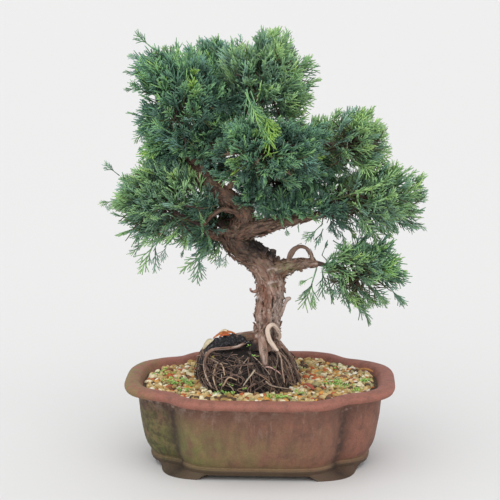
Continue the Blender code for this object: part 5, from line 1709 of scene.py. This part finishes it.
def dealGreens(name, roots, directions, lengths, rng):  # a colour for each spray, by its place: deeper greens inside a mass are partly painted shade, paler greens where it points up are painted light, and each mass's greens are shifted by its painted light and shade
    tips = roots + directions * lengths[:, None]
    pick = rng.random(len(roots))
    # how far out a spray ends, how it points and which mass it is in: painted light and shade
    level = shareOut(tips, *spaceOf(name)) + layeredNoise(tips, (crown["patches"],), 71)
    level = level + directions[:, 2] * crown["facingUp"] + crown["paler"].get(name, 0.0)
    slots = np.zeros(len(roots), int)
    for lowest, kinds, shares in crown["deal"]:
        on = level >= lowest
        slots[on] = np.array(kinds)[np.searchsorted(shares, pick[on], side="right")]
    for spot, radius in brightSpots:
        near = np.linalg.norm(tips - place(spot), axis=1) < radius * mm * rng.uniform(0.6, 1.2, len(tips))
        slots[near] = np.where(pick[near] < crown["brightest"], 4, 3)
    return slots


def makeFoliage():
    lines = [limbLine(name, 8) for name in limbs if not name.startswith("root")]
    limbPoints = np.vstack([points for points, _ in lines])
    limbRadii = np.concatenate([radii for _, radii in lines])
    leafMaterials = [scaleLeaf(f"scaleLeaf{i}", code) for i, code in enumerate(greens)]
    sunlitMaterials = [scaleLeaf(f"sunlitLeaf{i}", code) for i, code in enumerate(sunlit["greens"])]
    twigMaterials = [dullSkin(*named) for named in zip(("twigBark", "youngTwig"), twigs["barks"])]
    twigSets, total = [], 0
    for name in masses:
        grower = Grower(name, limbPoints, limbRadii)
        main = grower.mainTwigs()
        side = grower.sideTwigs(main)
        found = [grower.sprays(main, crown["mainShare"]), grower.sprays(side, crown["sideShare"])]
        roots, directions, lengths = (np.concatenate(column) for column in zip(*found))
        slots = dealGreens(name, roots, directions, lengths, grower.rng)
        materials = sunlitMaterials if name in sunlit["masses"] else leafMaterials
        piece = sprayPiece("sprays" + name[7:].title().replace("_", ""), roots, directions, lengths,
                           slots, materials, grower.rng)
        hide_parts(name)
        twigSets += zip((stemLine(grower), main, side), twigs["kinds"])
        total += len(piece.data.polygons)
        print(name, len(roots), "sprays", len(piece.data.polygons), "triangles")
    rng = np.random.default_rng(crown["seed"])
    roots, tips = (place([stray[i] for stray in strays]) for i in (0, 1))
    lengths = np.linalg.norm(tips - roots, axis=1)
    slots = rng.choice((1, 2, 5), len(roots), p=(0.45, 0.3, 0.25))
    sprayPiece("spraysStray", roots, unit(tips - roots), lengths, slots, sunlitMaterials, rng)
    sprayPiece("spraysTufts", *tuftSprays(rng), leafMaterials, rng)
    makeTwigs(twigSets, twigMaterials)
    print("foliage is made:", total, "triangles")


def tuftSprays(rng):  # roots, directions, lengths and greens of the sprays of all tufts
    found = []
    for foot, ahead, spread, number, (shortest, longest), kinds in tufts:
        turn = rng.uniform(0.0, 2.0 * math.pi, number)
        lean = np.radians(spread) * rng.uniform(0.1, 1.0, number) ** 0.7
        directions = leaning(np.repeat(unit(np.array([ahead], float)), number, axis=0), turn, lean)
        roots = place(foot) + rng.normal(0.0, 1.6, (number, 3)) * mm
        lengths = rng.uniform(shortest, longest, number) * mm
        found.append((roots, directions, lengths, rng.choice(kinds, number)))
    return [np.concatenate(column) for column in zip(*found)]


def sprayPiece(name, roots, directions, lengths, slots, materials, rng):
    starts, ends, radii, along, owners = shootsOfSprays(roots, directions, lengths, rng)
    points, triangles = cordArrays(starts, ends, radii, spray["taper"])
    base = slots[owners]
    chance = rng.random(len(base))
    tone = np.where((along < 0.35) & (chance < 0.6), np.array(crown["darker"])[base], base)
    tone = np.where((along > 0.55) & (chance < 0.28), np.array(crown["lighter"])[base], tone)
    piece = joinedPiece(name, points, triangles, np.repeat(tone, 8), materials)
    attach(piece, "root")
    return piece


def stemLine(grower):
    points, _ = limbLine(grower.feeder, 8)
    ahead = unit(points[-1] - points[-2])
    run = smoothRun([points[-1] - ahead * 3 * mm, points[-1] + ahead * 4 * mm, grower.centre], 5)
    return run[None]


def makeTwigs(sets, materials):
    rng = np.random.default_rng(crown["seed"])
    points, triangles, slots, start = [], [], [], 0
    for lines, (sides, thick, slot) in sets:
        radii = np.repeat(np.linspace(*thick, lines.shape[1])[None] * mm, len(lines), axis=0)
        found, faces, _ = tubeArrays(lines, radii, sides, rng)
        points.append(found)
        triangles.append(faces + start)
        slots.append(np.full(len(faces), slot))
        start += len(found)
    piece = joinedPiece("crownTwigs", np.concatenate(points), np.concatenate(triangles),
                        np.concatenate(slots), materials)
    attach(piece, "root")
    print("twigs are made:", len(piece.data.polygons), "triangles")


def scaleLeaf(name, colour):
    # scale leaves pressed to their shoots: a soft sheen, and darker and paler patches
    material, tree, shader = newMaterial(name, colour, 0.52, 1.45)
    where = addNode(tree, "ShaderNodeTexCoord").outputs["Object"]
    tree.links.new(mottle(tree, colour, where, 7.0, 2.0, (0.78, 1.2)), shader.inputs["Base Color"])
    return material


setStage()
makeTray()
makeMound()
makeGrit()
makeWood()
makeFlakes()
makeFineRoots()
makePeat()
makeDryLeaves()
makeSeedlings()
makeFoliage()
